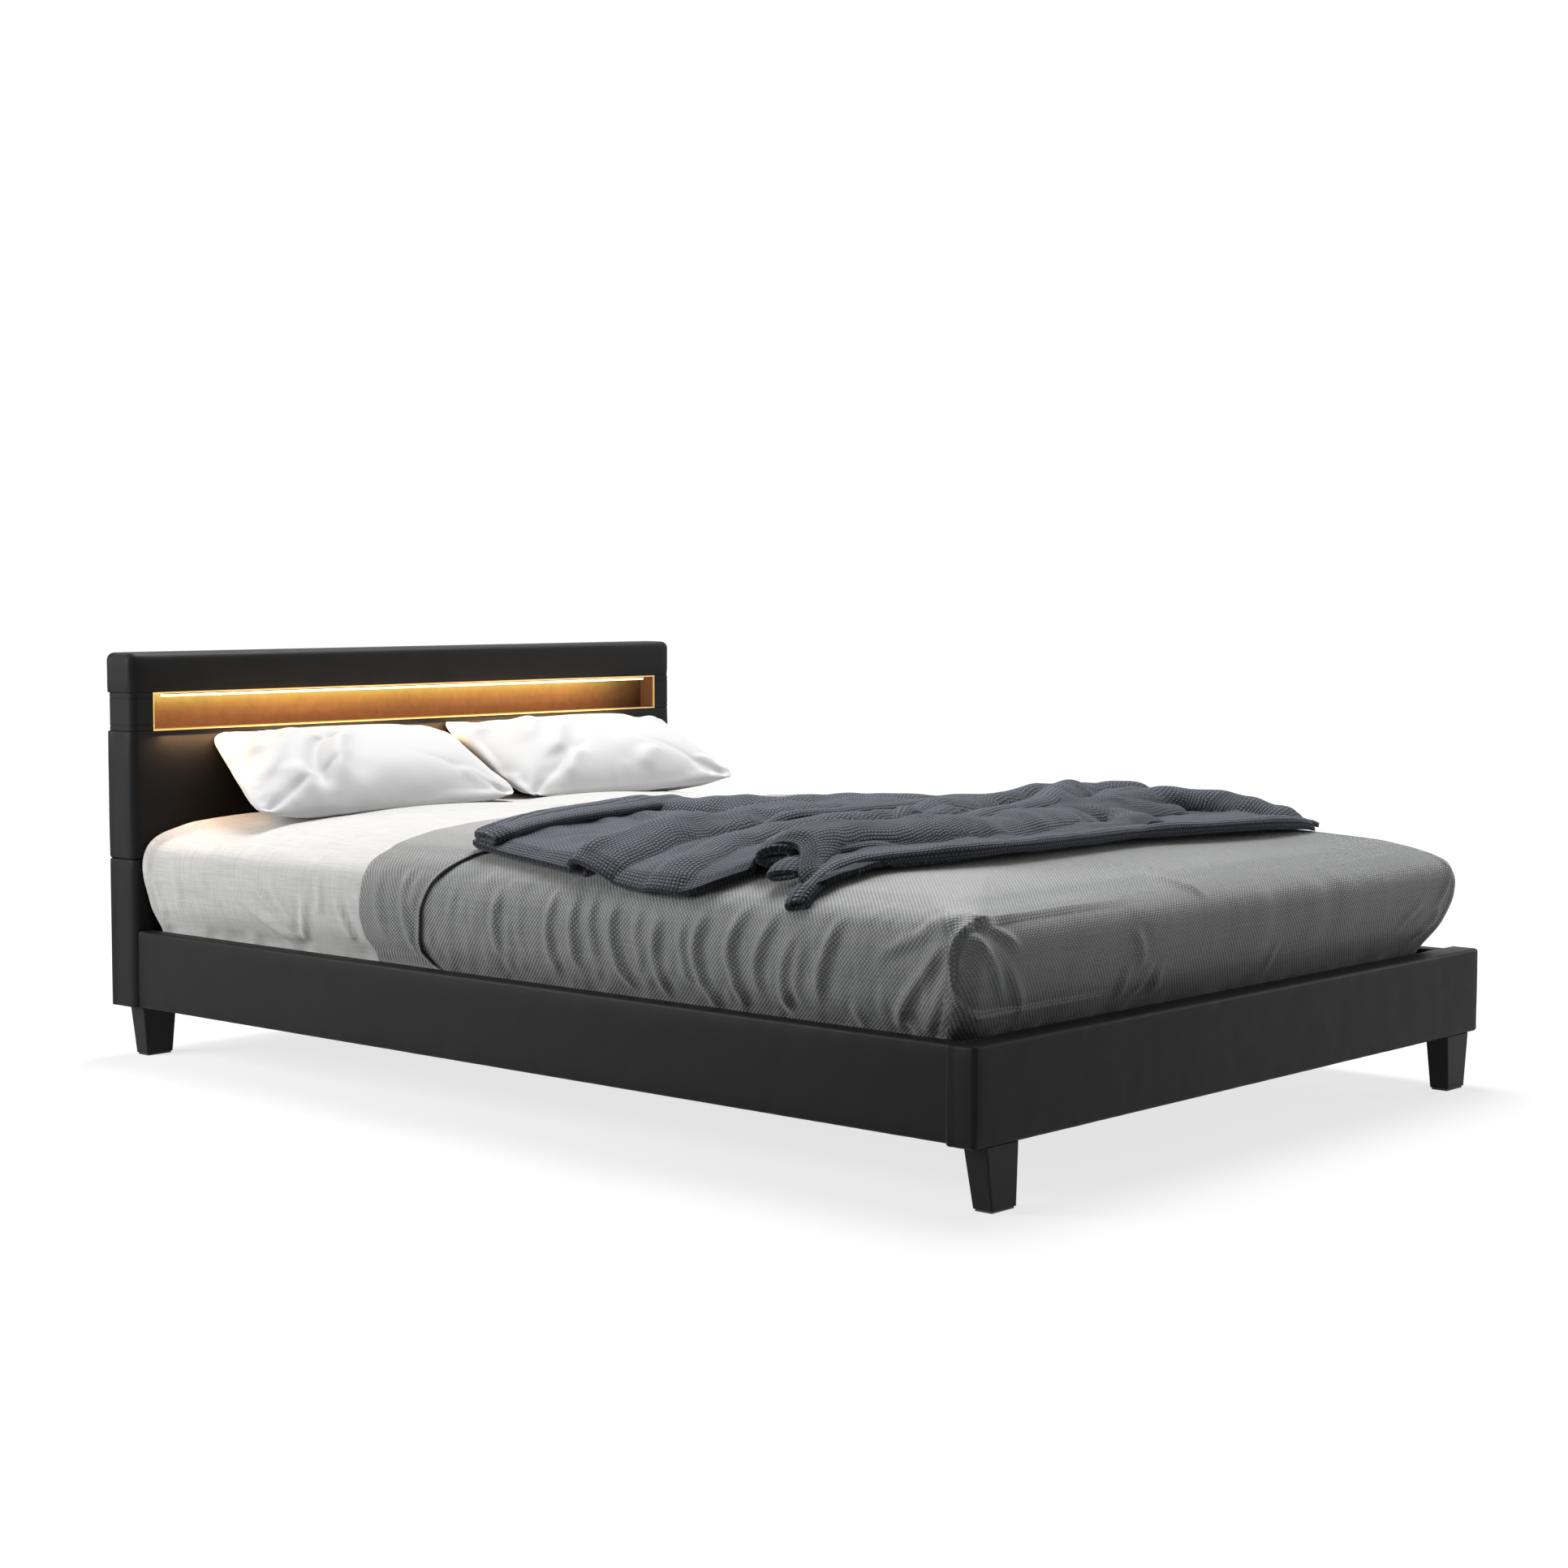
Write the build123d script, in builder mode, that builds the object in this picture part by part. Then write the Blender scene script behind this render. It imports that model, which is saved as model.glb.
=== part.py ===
from build123d import *
import os
from math import atan2, cos, degrees, hypot, radians, sin

os.makedirs("parts", exist_ok=True)

# Millimetres. X runs to the right seen from the foot, Y from the foot to the headboard, Z up.
# The origin is the middle of the overall plan, on the floor.

# Mattress space between the rails
mattress_width = 1400
mattress_length = 2000
side_play = 1
end_play = 7

# Upholstered rails and headboard
floor_clearance = 100
side_rail_thickness = 34
side_rail_height = 150
foot_rail_thickness = 55
foot_rail_height = 153
foot_rail_overhang = 15
headboard_overhang = 8
headboard_thickness = 85
headboard_lower_height = 289
headboard_upper_height = 400

# Lit niche across the headboard
headboard_top_height = 77.5
niche_height = 74.5
niche_depth = 43.5
niche_end_width = 51
niche_lining = 2
niche_panel_thickness = 6
niche_rim_radius = 2
lip_depth = 4
lip_setback = 0.5
lip_width = 2.5
band_seam_height = 10
seam_groove_height = 1.6
seam_groove_depth = 0.8

# Light in the niche
led_channel_width = 12
led_channel_height = 3
led_channel_wall = 1
led_diffuser_drop = 4
led_setback = 12
led_end_gap = 30
led_strip_thickness = 1
led_cable_diameter = 1.8
led_cable_bend = 6
inlet_height = 260
inlet_flange_radius = 12
inlet_flange_thickness = 2
inlet_body_radius = 8
inlet_body_depth = 18
inlet_bore_radius = 3
inlet_bore_depth = 12

# Upholstery layers
leather_thickness = 1.2
headboard_padding = 12
headboard_corner_radius = 16
headboard_top_radius = 14
headboard_seam_radius = 5
seam_padding = 6
rail_padding = 6
rail_edge_radius = 6
foot_corner_radius = 8
rail_return = 9
back_return = 22
back_cloth_thickness = 1
back_cloth_margin = 16

# Timber inside the headboard
bottom_member_height = 90
member_width = 45
front_panel_thickness = 5
stile_count = 5
glue_gap = 0.2

# Plates that join the headboard sections at the back
plate_thickness = 2
plate_width = 40
plate_reach = 45
plate_edge_distance = 15
plate_places_share = (-0.82, -0.27, 0.27, 0.82)
screw_radius = 2.5
screw_head_radius = 4.5
screw_head_height = 1.2
screw_bite = 22
screw_clearance = 0.15

# Corner brackets and bolts
bracket_leg = 60
bracket_thickness = 4
bracket_height = 60
bracket_rise = 15
bracket_gap = 10
bolt_radius = 4
bolt_head_radius = 7
bolt_head_height = 4.5
bolt_bite = 14
bolt_clearance = 0.2
bolt_edge_distance = 15
bolt_corner_distance = 36

# Slatted base
slat_count = 14
slat_width = 70
slat_thickness = 18
slat_end_gap = 3
slat_margin = 14
mattress_recess = 45
ledger_width = 30
ledger_height = 35
ledger_screw_count = 6
ledger_screw_margin = 120
strap_width = 25
strap_thickness = 1.5
strap_gap = 8
beam_width = 45
beam_height = 45
beam_play = 0.5
hanger_thickness = 3
hanger_depth = 40
hanger_flange = 22
hanger_lip_drop = 6

# Legs
leg_top_width = 78
leg_top_depth = 45
leg_bottom_width = 60
leg_bottom_depth = 37
leg_outer_taper = 13.5
leg_end_inset = 31
leg_face_inset = 2
leg_corner_radius = 3
glide_thickness = 4
glide_inset = 3
leg_bolt_length = 60
leg_bolt_bite = 28
centre_leg_radius = 20
centre_leg_spacing = 760

# Mattress and bedding
soft_gap = 0.3
mattress_height = 268.2
side_swell = 22
foot_swell = 32
head_swell = 5
crown_reach = 355
head_crown_reach = 120
bedding_corner_radius = 32
sheet_thickness = 1.5
sheet_hem_width = 90
ticking_thickness = 4
comfort_layer_height = 70
spread_thickness = 8
spread_head_distance = 1420
turndown_width = 160
turndown_thickness = 7
turndown_overlap = 1
spread_hem_rise = 10

# Outline of the mattress side: height, swelling and drawing in, each as a share of its size
side_shape_share = (
    (0.000, 0.0, 0.090),
    (0.183, 0.0, 0.056),
    (0.350, 0.3, 0.000),
    (0.537, 0.9, 0.000),
    (0.668, 1.0, 0.000),
    (0.754, 0.7, 0.000),
    (0.817, 0.0, 0.014),
    (0.892, 0.0, 0.155),
    (0.948, 0.0, 0.380),
    (0.981, 0.0, 0.662),
    (1.000, 0.0, 1.000),
)

# Pillows, leaning against the headboard
pillow_width = 608
pillow_depth = 296
pillow_half_thickness = 68
pillow_ear = 9
pillow_side_draw = 20
pillow_end_draw = 14
pillow_lean_angle = 27
pillow_case_thickness = 1.5
pillow_heel_distance = 262
pillow_left_x = -304
pillow_left_turn = -4
pillow_right_x = 345
pillow_right_turn = 1
# Height of each layer over the pillow's middle, and how far it is drawn in from the seam
pillow_layer_share = ((0.0, 0.0), (0.30, 0.055), (0.62, 0.165), (0.86, 0.36), (1.0, 0.62))

# Throw, dropped across the bed and over its left edge
throw_foot_distance = 250
throw_thickness = 9
throw_drop_height = 208
throw_left_x = -743
throw_width = 1365
throw_length = 1110
throw_fold_height = 62
throw_droop = 58
# Station along the width, foot edge and head edge along the length, height of the folds, droop
throw_station_share = (
    (0.00, 0.20, 0.49, 0.55, 1.00),
    (0.06, 0.11, 0.83, 0.62, 0.46),
    (0.25, 0.06, 0.92, 0.66, 0.05),
    (0.52, 0.05, 0.99, 0.74, 0.00),
    (0.73, 0.03, 0.86, 0.90, 0.00),
    (0.88, 0.02, 0.72, 0.86, 0.05),
    (1.00, 0.00, 0.30, 0.25, 0.12),
)
# Crests of the folds between the foot edge and the head edge, with their heights
throw_crest_share = ((0.09, 0.62), (0.36, 1.00), (0.66, 0.84), (0.93, 0.52))
throw_valley_share = ((0.00, 0.10), (0.20, 0.34), (0.50, 0.52), (0.82, 0.22), (1.00, 0.10))

# Overrun of every cut
overrun = 5

# Places that follow from the sizes above
half_cavity = mattress_width / 2 + side_play
side_rail_outer_x = half_cavity + side_rail_thickness
foot_rail_half = side_rail_outer_x + foot_rail_overhang
headboard_half = side_rail_outer_x + headboard_overhang
cavity_length = mattress_length + 2 * end_play
overall_length = foot_rail_thickness + cavity_length + headboard_thickness
foot_face_y = -overall_length / 2
cavity_foot_y = foot_face_y + foot_rail_thickness
headboard_front_y = cavity_foot_y + cavity_length
headboard_back_y = overall_length / 2
cloth_front_y = headboard_back_y - back_cloth_thickness
shell_back_y = cloth_front_y - plate_thickness
side_rail_top_z = floor_clearance + side_rail_height
foot_rail_top_z = floor_clearance + foot_rail_height
seam_z = floor_clearance + headboard_lower_height
headboard_top_z = seam_z + headboard_upper_height
niche_top_z = headboard_top_z - headboard_top_height
niche_bottom_z = niche_top_z - niche_height
niche_half = headboard_half - niche_end_width
niche_back_y = headboard_front_y + niche_depth
slat_top_z = side_rail_top_z - mattress_recess
slat_bottom_z = slat_top_z - slat_thickness
bolt_hole_radius = bolt_radius + bolt_clearance
screw_hole_radius = screw_radius + screw_clearance


class Space:
    """A box of space, given by its low and high place along each axis."""

    def __init__(self, x, y, z):
        self.x, self.y, self.z = x, y, z

    @property
    def size(self):
        return tuple(high - low for low, high in (self.x, self.y, self.z))

    @property
    def centre(self):
        return tuple((high + low) / 2 for low, high in (self.x, self.y, self.z))

    def inset(self, left=0, right=0, front=0, back=0, bottom=0, top=0):
        return Space(
            (self.x[0] + left, self.x[1] - right),
            (self.y[0] + front, self.y[1] - back),
            (self.z[0] + bottom, self.z[1] - top),
        )

    def inset_all(self, by):
        return self.inset(by, by, by, by, by, by)


def save(piece, name):
    piece.part.label = name
    export_step(piece.part, f"parts/{name}.step")


def block(space, mode=Mode.ADD):
    """A plain box that fills the space, in the builder that is open."""
    with Locations(space.centre):
        Box(*space.size, mode=mode)


def rod(start, direction, radius, length, mode=Mode.ADD):
    """A round bar from a point along a direction, in the builder that is open."""
    with Locations(Plane(origin=start, z_dir=direction)):
        Cylinder(radius, length, align=(Align.CENTER, Align.CENTER, Align.MIN), mode=mode)


def rounded_solid(space, upright_radius, top_radius, bottom_radius):
    """A box with rounded upright edges and rounded rims."""
    with BuildPart() as solid:
        with BuildSketch(Plane.XY.offset(space.z[0])):
            with Locations(space.centre[:2]):
                RectangleRounded(space.size[0], space.size[1], upright_radius)
        extrude(amount=space.size[2])
        fillet(solid.faces().sort_by(Axis.Z)[-1].edges(), top_radius)
        fillet(solid.faces().sort_by(Axis.Z)[0].edges(), bottom_radius)
    return solid.part


# Bolts and screws: where each starts, the way it goes in, its length and the side it goes into
def bracket_bolt_places():
    """Bolts of the four corner brackets, as (start on the bracket, direction, depth, member)."""
    places = []
    heights = (
        floor_clearance + bracket_rise + bolt_edge_distance,
        floor_clearance + bracket_rise + bracket_height - bolt_edge_distance,
    )
    rail_depth = bracket_thickness + leather_thickness + rail_padding + bolt_bite
    head_depth = rail_depth + headboard_padding - rail_padding + front_panel_thickness
    for side in (-1, 1):
        for end, end_y, depth in ((-1, cavity_foot_y, rail_depth), (1, headboard_front_y, head_depth)):
            for z in heights:
                x_inner = side * (half_cavity - bracket_thickness)
                y_inner = end_y - end * bracket_thickness
                y_on_rail = end_y - end * bolt_corner_distance
                x_on_end = side * (half_cavity - bolt_corner_distance)
                places.append(((x_inner, y_on_rail, z), (side, 0, 0), rail_depth, "side"))
                places.append(((x_on_end, y_inner, z), (0, end, 0), depth, "foot" if end < 0 else "head"))
    return places


def ledger_screw_places(side):
    """Screws that hold a slat ledger to its side rail."""
    first_y = cavity_foot_y + ledger_screw_margin
    step = (cavity_length - 2 * ledger_screw_margin) / (ledger_screw_count - 1)
    z = slat_bottom_z - ledger_height / 2
    x = side * (half_cavity - ledger_width)
    return [((x, first_y + step * index, z), (side, 0, 0)) for index in range(ledger_screw_count)]


def hanger_screw_places():
    """Two screws for each beam hanger, into the foot rail and into the headboard."""
    x = beam_width / 2 + beam_play + hanger_thickness + hanger_flange / 2
    z = slat_bottom_z - beam_height / 2
    places = []
    for end, end_y in ((-1, cavity_foot_y), (1, headboard_front_y)):
        for side in (-1, 1):
            places.append(((side * x, end_y - end * hanger_thickness, z), (0, end, 0)))
    return places


def plate_spaces():
    """Steel plates behind the headboard, over the seam and behind the niche."""
    spans = (
        (seam_z - plate_reach, seam_z + plate_reach),
        (niche_bottom_z - plate_reach, niche_top_z + plate_reach),
    )
    spaces = []
    for share in plate_places_share:
        x = share * headboard_half
        for low, high in spans:
            spaces.append(
                Space((x - plate_width / 2, x + plate_width / 2), (shell_back_y, cloth_front_y), (low, high))
            )
    return spaces


def plate_screw_places():
    """A screw near each end of each plate, going forward into the timber."""
    places = []
    for plate in plate_spaces():
        for z in (plate.z[0] + plate_edge_distance, plate.z[1] - plate_edge_distance):
            places.append(((plate.centre[0], cloth_front_y, z), (0, -1, 0)))
    return places


def leg_places():
    """The four corner legs by name: side, end, outer top corner in X and the flush face in Y."""
    outer_x = foot_rail_half - leg_end_inset
    front_y = foot_face_y + leg_face_inset
    rear_y = headboard_back_y - leg_end_inset
    return {
        "leg_front_left": (-1, -1, outer_x, front_y),
        "leg_front_right": (1, -1, outer_x, front_y),
        "leg_rear_left": (-1, 1, outer_x, rear_y),
        "leg_rear_right": (1, 1, outer_x, rear_y),
    }


def leg_centre(side, end, outer_x, face_y):
    """Middle of a corner leg's top."""
    return side * (outer_x - leg_top_width / 2), face_y - end * leg_top_depth / 2


centre_leg_places = ((0, -centre_leg_spacing / 2), (0, centre_leg_spacing / 2))
bolts = bracket_bolt_places()
plate_screws = plate_screw_places()
leg_bolt_places = [leg_centre(*place) for place in leg_places().values()]
leg_bolt_base_z = floor_clearance - leg_bolt_length + leg_bolt_bite


def bore_bolts(member):
    """Clearance holes for the bracket bolts that go into one member."""
    for start, direction, depth, target in bolts:
        if target == member:
            rod(start, direction, bolt_hole_radius, depth, Mode.SUBTRACT)


def bore_screws(places, depth):
    """Clearance holes for a group of screws."""
    for start, direction in places:
        rod(start, direction, screw_hole_radius, depth, Mode.SUBTRACT)


def bore_leg_bolts(places, base_z):
    """Clearance holes for the bolts that stand in the legs."""
    for x, y in places:
        rod((x, y, base_z), (0, 0, 1), bolt_hole_radius, leg_bolt_length, Mode.SUBTRACT)


# Headboard: three upholstered sections, the niche between the upper two
headboard_x = (-headboard_half, headboard_half)
shell_y = (headboard_front_y, shell_back_y)
lower_space = Space(headboard_x, shell_y, (floor_clearance, seam_z))
upper_space = Space(headboard_x, shell_y, (seam_z, niche_bottom_z))
top_space = Space(headboard_x, shell_y, (niche_top_z, headboard_top_z))
band_space = Space(headboard_x, shell_y, (niche_bottom_z, niche_top_z))
screw_depth = screw_bite + plate_thickness
hanger_screw_depth = {
    "foot": hanger_thickness + leather_thickness + rail_padding + bolt_bite,
    "head": hanger_thickness + leather_thickness + headboard_padding + front_panel_thickness + bolt_bite,
}
foot_hanger_screws = [place for place in hanger_screw_places() if place[1][1] < 0]
head_hanger_screws = [place for place in hanger_screw_places() if place[1][1] > 0]


def headboard_core(space, top_padding):
    """Space for the timber inside a headboard section."""
    side = leather_thickness + headboard_corner_radius
    return space.inset(
        left=side,
        right=side,
        front=leather_thickness + headboard_padding,
        back=leather_thickness,
        bottom=leather_thickness + seam_padding,
        top=leather_thickness + top_padding,
    )


def headboard_cavity(space, top_radius, bottom_radius):
    """What the leather of a headboard section is filled with."""
    return rounded_solid(
        space.inset_all(leather_thickness),
        headboard_corner_radius - leather_thickness,
        top_radius - leather_thickness,
        bottom_radius - leather_thickness,
    )


def make_headboard_section(name, space, top_radius, bottom_radius, top_padding, bolted_legs=()):
    """Leather cover, open at the back, and the foam between it and the timber."""
    outside = rounded_solid(space, headboard_corner_radius, top_radius, bottom_radius)
    cavity = headboard_cavity(space, top_radius, bottom_radius)
    opening = space.inset(back_return, back_return, space.size[1] / 2, -overrun, back_return, back_return)
    core = headboard_core(space, top_padding)
    with BuildPart() as cover:
        add(outside)
        add(cavity, mode=Mode.SUBTRACT)
        block(opening, Mode.SUBTRACT)
        bore_bolts("head")
        bore_screws(plate_screws, screw_depth)
        bore_screws(head_hanger_screws, hanger_screw_depth["head"])
        bore_leg_bolts(bolted_legs, leg_bolt_base_z)
    save(cover, f"{name}_cover")
    with BuildPart() as foam:
        add(cavity)
        block(core.inset(back=-overrun), Mode.SUBTRACT)
        bore_bolts("head")
        bore_screws(head_hanger_screws, hanger_screw_depth["head"])
        bore_leg_bolts(bolted_legs, leg_bolt_base_z)
    save(foam, f"{name}_foam")
    return core


lower_core = make_headboard_section(
    "headboard_lower", lower_space, headboard_seam_radius, headboard_seam_radius, seam_padding, leg_bolt_places
)
upper_core = make_headboard_section(
    "headboard_upper", upper_space, niche_rim_radius, headboard_seam_radius, seam_padding
)
top_core = make_headboard_section(
    "headboard_top", top_space, headboard_top_radius, niche_rim_radius, headboard_top_radius
)


def stile_places(core):
    """Middles of the upright members, evenly spaced."""
    reach = core.x[1] - member_width / 2
    return [reach * (2 * index / (stile_count - 1) - 1) for index in range(stile_count)]


inlet_x = stile_places(lower_core)[-2]


def make_headboard_frame(name, core, bottom_height, top_height):
    """Ladder of timber members behind the front panel."""
    frame = core.inset(front=front_panel_thickness)
    bottom = Space(frame.x, frame.y, (frame.z[0], frame.z[0] + bottom_height))
    top = Space(frame.x, frame.y, (frame.z[1] - top_height, frame.z[1]))
    stile_z = (bottom.z[1] + glue_gap, top.z[0] - glue_gap)
    with BuildPart() as timber:
        block(bottom)
        block(top)
        for x in stile_places(core):
            block(Space((x - member_width / 2, x + member_width / 2), frame.y, stile_z))
        bore_bolts("head")
        bore_screws(plate_screws, screw_depth)
        bore_screws(head_hanger_screws, hanger_screw_depth["head"])
        if name == "headboard_lower":
            bore_leg_bolts(leg_bolt_places, leg_bolt_base_z)
            rod(
                (inlet_x, shell_back_y, inlet_height),
                (0, -1, 0),
                inlet_body_radius + screw_clearance,
                inlet_body_depth,
                Mode.SUBTRACT,
            )
    save(timber, f"{name}_frame")


make_headboard_frame("headboard_lower", lower_core, bottom_member_height, member_width)
make_headboard_frame("headboard_upper", upper_core, member_width, member_width)

with BuildPart() as headboard_front_panels:
    for core in (lower_core, upper_core):
        panel_y = (core.y[0], core.y[0] + front_panel_thickness)
        block(Space(core.x, panel_y, core.z))
    bore_bolts("head")
    bore_screws(head_hanger_screws, hanger_screw_depth["head"])
save(headboard_front_panels, "headboard_front_panels")

with BuildPart() as headboard_top_rail:
    block(top_core)
    bore_screws(plate_screws, screw_depth)
save(headboard_top_rail, "headboard_top_rail")

# Ends of the niche: leather bands round timber blocks, with two sewn seams
niche_mouth = Space((-niche_half, niche_half), band_space.y, band_space.z).inset(
    front=-overrun, back=-overrun, bottom=-overrun, top=-overrun
)
band_outside = rounded_solid(band_space, headboard_corner_radius, niche_rim_radius, niche_rim_radius)
band_cavity = headboard_cavity(band_space, niche_rim_radius, niche_rim_radius)
groove_rings = []
for groove_z in (niche_bottom_z + band_seam_height, niche_top_z - band_seam_height):
    groove_space = Space(
        headboard_x, shell_y, (groove_z - seam_groove_height / 2, groove_z + seam_groove_height / 2)
    )
    with BuildPart() as groove_ring:
        block(groove_space.inset_all(-overrun).inset(bottom=overrun, top=overrun))
        with BuildSketch(Plane.XY.offset(groove_space.z[0])):
            with Locations(groove_space.centre[:2]):
                RectangleRounded(
                    groove_space.size[0] - 2 * seam_groove_depth,
                    groove_space.size[1] - 2 * seam_groove_depth,
                    headboard_corner_radius - seam_groove_depth,
                )
        extrude(amount=groove_space.size[2], mode=Mode.SUBTRACT)
    groove_rings.append(groove_ring.part)

with BuildPart() as niche_end_covers:
    add(band_outside)
    add(band_cavity, mode=Mode.SUBTRACT)
    block(niche_mouth, Mode.SUBTRACT)
    for ring in groove_rings:
        add(ring, mode=Mode.SUBTRACT)
save(niche_end_covers, "niche_end_covers")

with BuildPart() as niche_end_blocks:
    add(band_cavity)
    block(niche_mouth, Mode.SUBTRACT)
save(niche_end_blocks, "niche_end_blocks")

# Inside of the niche
niche_hollow = Space((-niche_half, niche_half), (headboard_front_y, niche_back_y), band_space.z)
lining_front = lip_setback + lip_depth
with BuildPart() as niche_lining_sleeve:
    block(niche_hollow.inset(front=lining_front))
    block(
        niche_hollow.inset(
            niche_lining, niche_lining, -overrun, -overrun, niche_lining, niche_lining
        ),
        Mode.SUBTRACT,
    )
save(niche_lining_sleeve, "niche_lining")

niche_room = niche_hollow.inset(niche_lining, niche_lining, 0, 0, niche_lining, niche_lining)
panel_back_y = niche_back_y + niche_panel_thickness
led_y = headboard_front_y + led_setback
led_top_z = niche_room.z[1]
cable_z = led_top_z - led_channel_height / 2
cable_hole_radius = led_cable_diameter / 2 + screw_clearance

with BuildPart() as niche_back_panel:
    block(Space(niche_room.x, (niche_back_y, panel_back_y), niche_room.z))
    rod((inlet_x, headboard_front_y, cable_z), (0, 1, 0), cable_hole_radius, headboard_thickness, Mode.SUBTRACT)
save(niche_back_panel, "niche_back_panel")

with BuildPart() as niche_back_board:
    block(Space(niche_hollow.x, (panel_back_y, shell_back_y), niche_hollow.z))
    rod((inlet_x, headboard_front_y, cable_z), (0, 1, 0), cable_hole_radius, headboard_thickness, Mode.SUBTRACT)
    block(
        Space(
            (inlet_x - cable_hole_radius, inlet_x + cable_hole_radius),
            (shell_back_y - led_cable_bend, shell_back_y + overrun),
            (niche_bottom_z, cable_z + cable_hole_radius),
        ),
        Mode.SUBTRACT,
    )
save(niche_back_board, "niche_back_board")

lip_space = niche_hollow.inset(front=lip_setback)
lip_space.y = (lip_space.y[0], lip_space.y[0] + lip_depth)
with BuildPart() as niche_lip:
    block(lip_space)
    block(lip_space.inset(lip_width, lip_width, -overrun, -overrun, lip_width, lip_width), Mode.SUBTRACT)
save(niche_lip, "niche_lip")

# Light: an aluminium channel under the niche's ceiling, with the strip and its diffuser
led_x = (-niche_half + led_end_gap, niche_half - led_end_gap)
led_space = Space(
    led_x,
    (led_y - led_channel_width / 2, led_y + led_channel_width / 2),
    (led_top_z - led_channel_height, led_top_z),
)
channel_hollow = led_space.inset(0, 0, led_channel_wall, led_channel_wall, 0, led_channel_wall)
with BuildPart() as led_channel:
    block(led_space)
    block(channel_hollow.inset(-overrun, -overrun, 0, 0, -overrun), Mode.SUBTRACT)
save(led_channel, "led_channel")

strip_z = (channel_hollow.z[1] - led_strip_thickness, channel_hollow.z[1])
with BuildPart() as led_strip:
    block(Space(channel_hollow.x, channel_hollow.y, strip_z))
save(led_strip, "led_strip")

with BuildPart() as led_diffuser:
    block(Space(channel_hollow.x, channel_hollow.y, (led_space.z[0] - led_diffuser_drop, strip_z[0])))
save(led_diffuser, "led_diffuser")

cable_y = shell_back_y + plate_thickness / 2
cable_start_z = inlet_height + inlet_flange_radius
with BuildPart() as led_cable:
    with BuildLine() as cable_route:
        FilletPolyline(
            (inlet_x, cable_y, cable_start_z),
            (inlet_x, cable_y, cable_z),
            (inlet_x, led_space.y[1], cable_z),
            radius=led_cable_bend,
        )
    with BuildSketch(Plane(origin=(inlet_x, cable_y, cable_start_z), z_dir=(0, 0, 1))):
        Circle(led_cable_diameter / 2)
    sweep()
save(led_cable, "led_cable")

with BuildPart() as power_inlet:
    rod((inlet_x, headboard_back_y, inlet_height), (0, -1, 0), inlet_flange_radius, inlet_flange_thickness)
    rod(
        (inlet_x, headboard_back_y, inlet_height),
        (0, -1, 0),
        inlet_body_radius,
        inlet_body_depth + back_cloth_thickness + plate_thickness,
    )
    rod(
        (inlet_x, headboard_back_y, inlet_height),
        (0, -1, 0),
        inlet_bore_radius,
        inlet_bore_depth,
        Mode.SUBTRACT,
    )
save(power_inlet, "power_inlet")

# Back of the headboard
with BuildPart() as joining_plates:
    for plate in plate_spaces():
        block(plate)
    bore_screws(plate_screws, screw_depth)
    for start, direction in plate_screws:
        rod(start, direction, screw_head_radius + screw_clearance, screw_head_height, Mode.SUBTRACT)
save(joining_plates, "joining_plates")

with BuildPart() as joining_screws:
    for start, direction in plate_screws:
        rod(start, direction, screw_radius, screw_depth)
        rod(start, direction, screw_head_radius, screw_head_height)
save(joining_screws, "joining_screws")

back_space = Space(headboard_x, (cloth_front_y, headboard_back_y), (floor_clearance, headboard_top_z))
with BuildPart() as headboard_back_cloth:
    block(back_space.inset(back_cloth_margin, back_cloth_margin, 0, 0, back_cloth_margin, back_cloth_margin))
    rod(
        (inlet_x, headboard_back_y + overrun, inlet_height),
        (0, -1, 0),
        inlet_flange_radius + screw_clearance,
        2 * overrun + back_cloth_thickness,
        Mode.SUBTRACT,
    )
save(headboard_back_cloth, "headboard_back_cloth")

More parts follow.
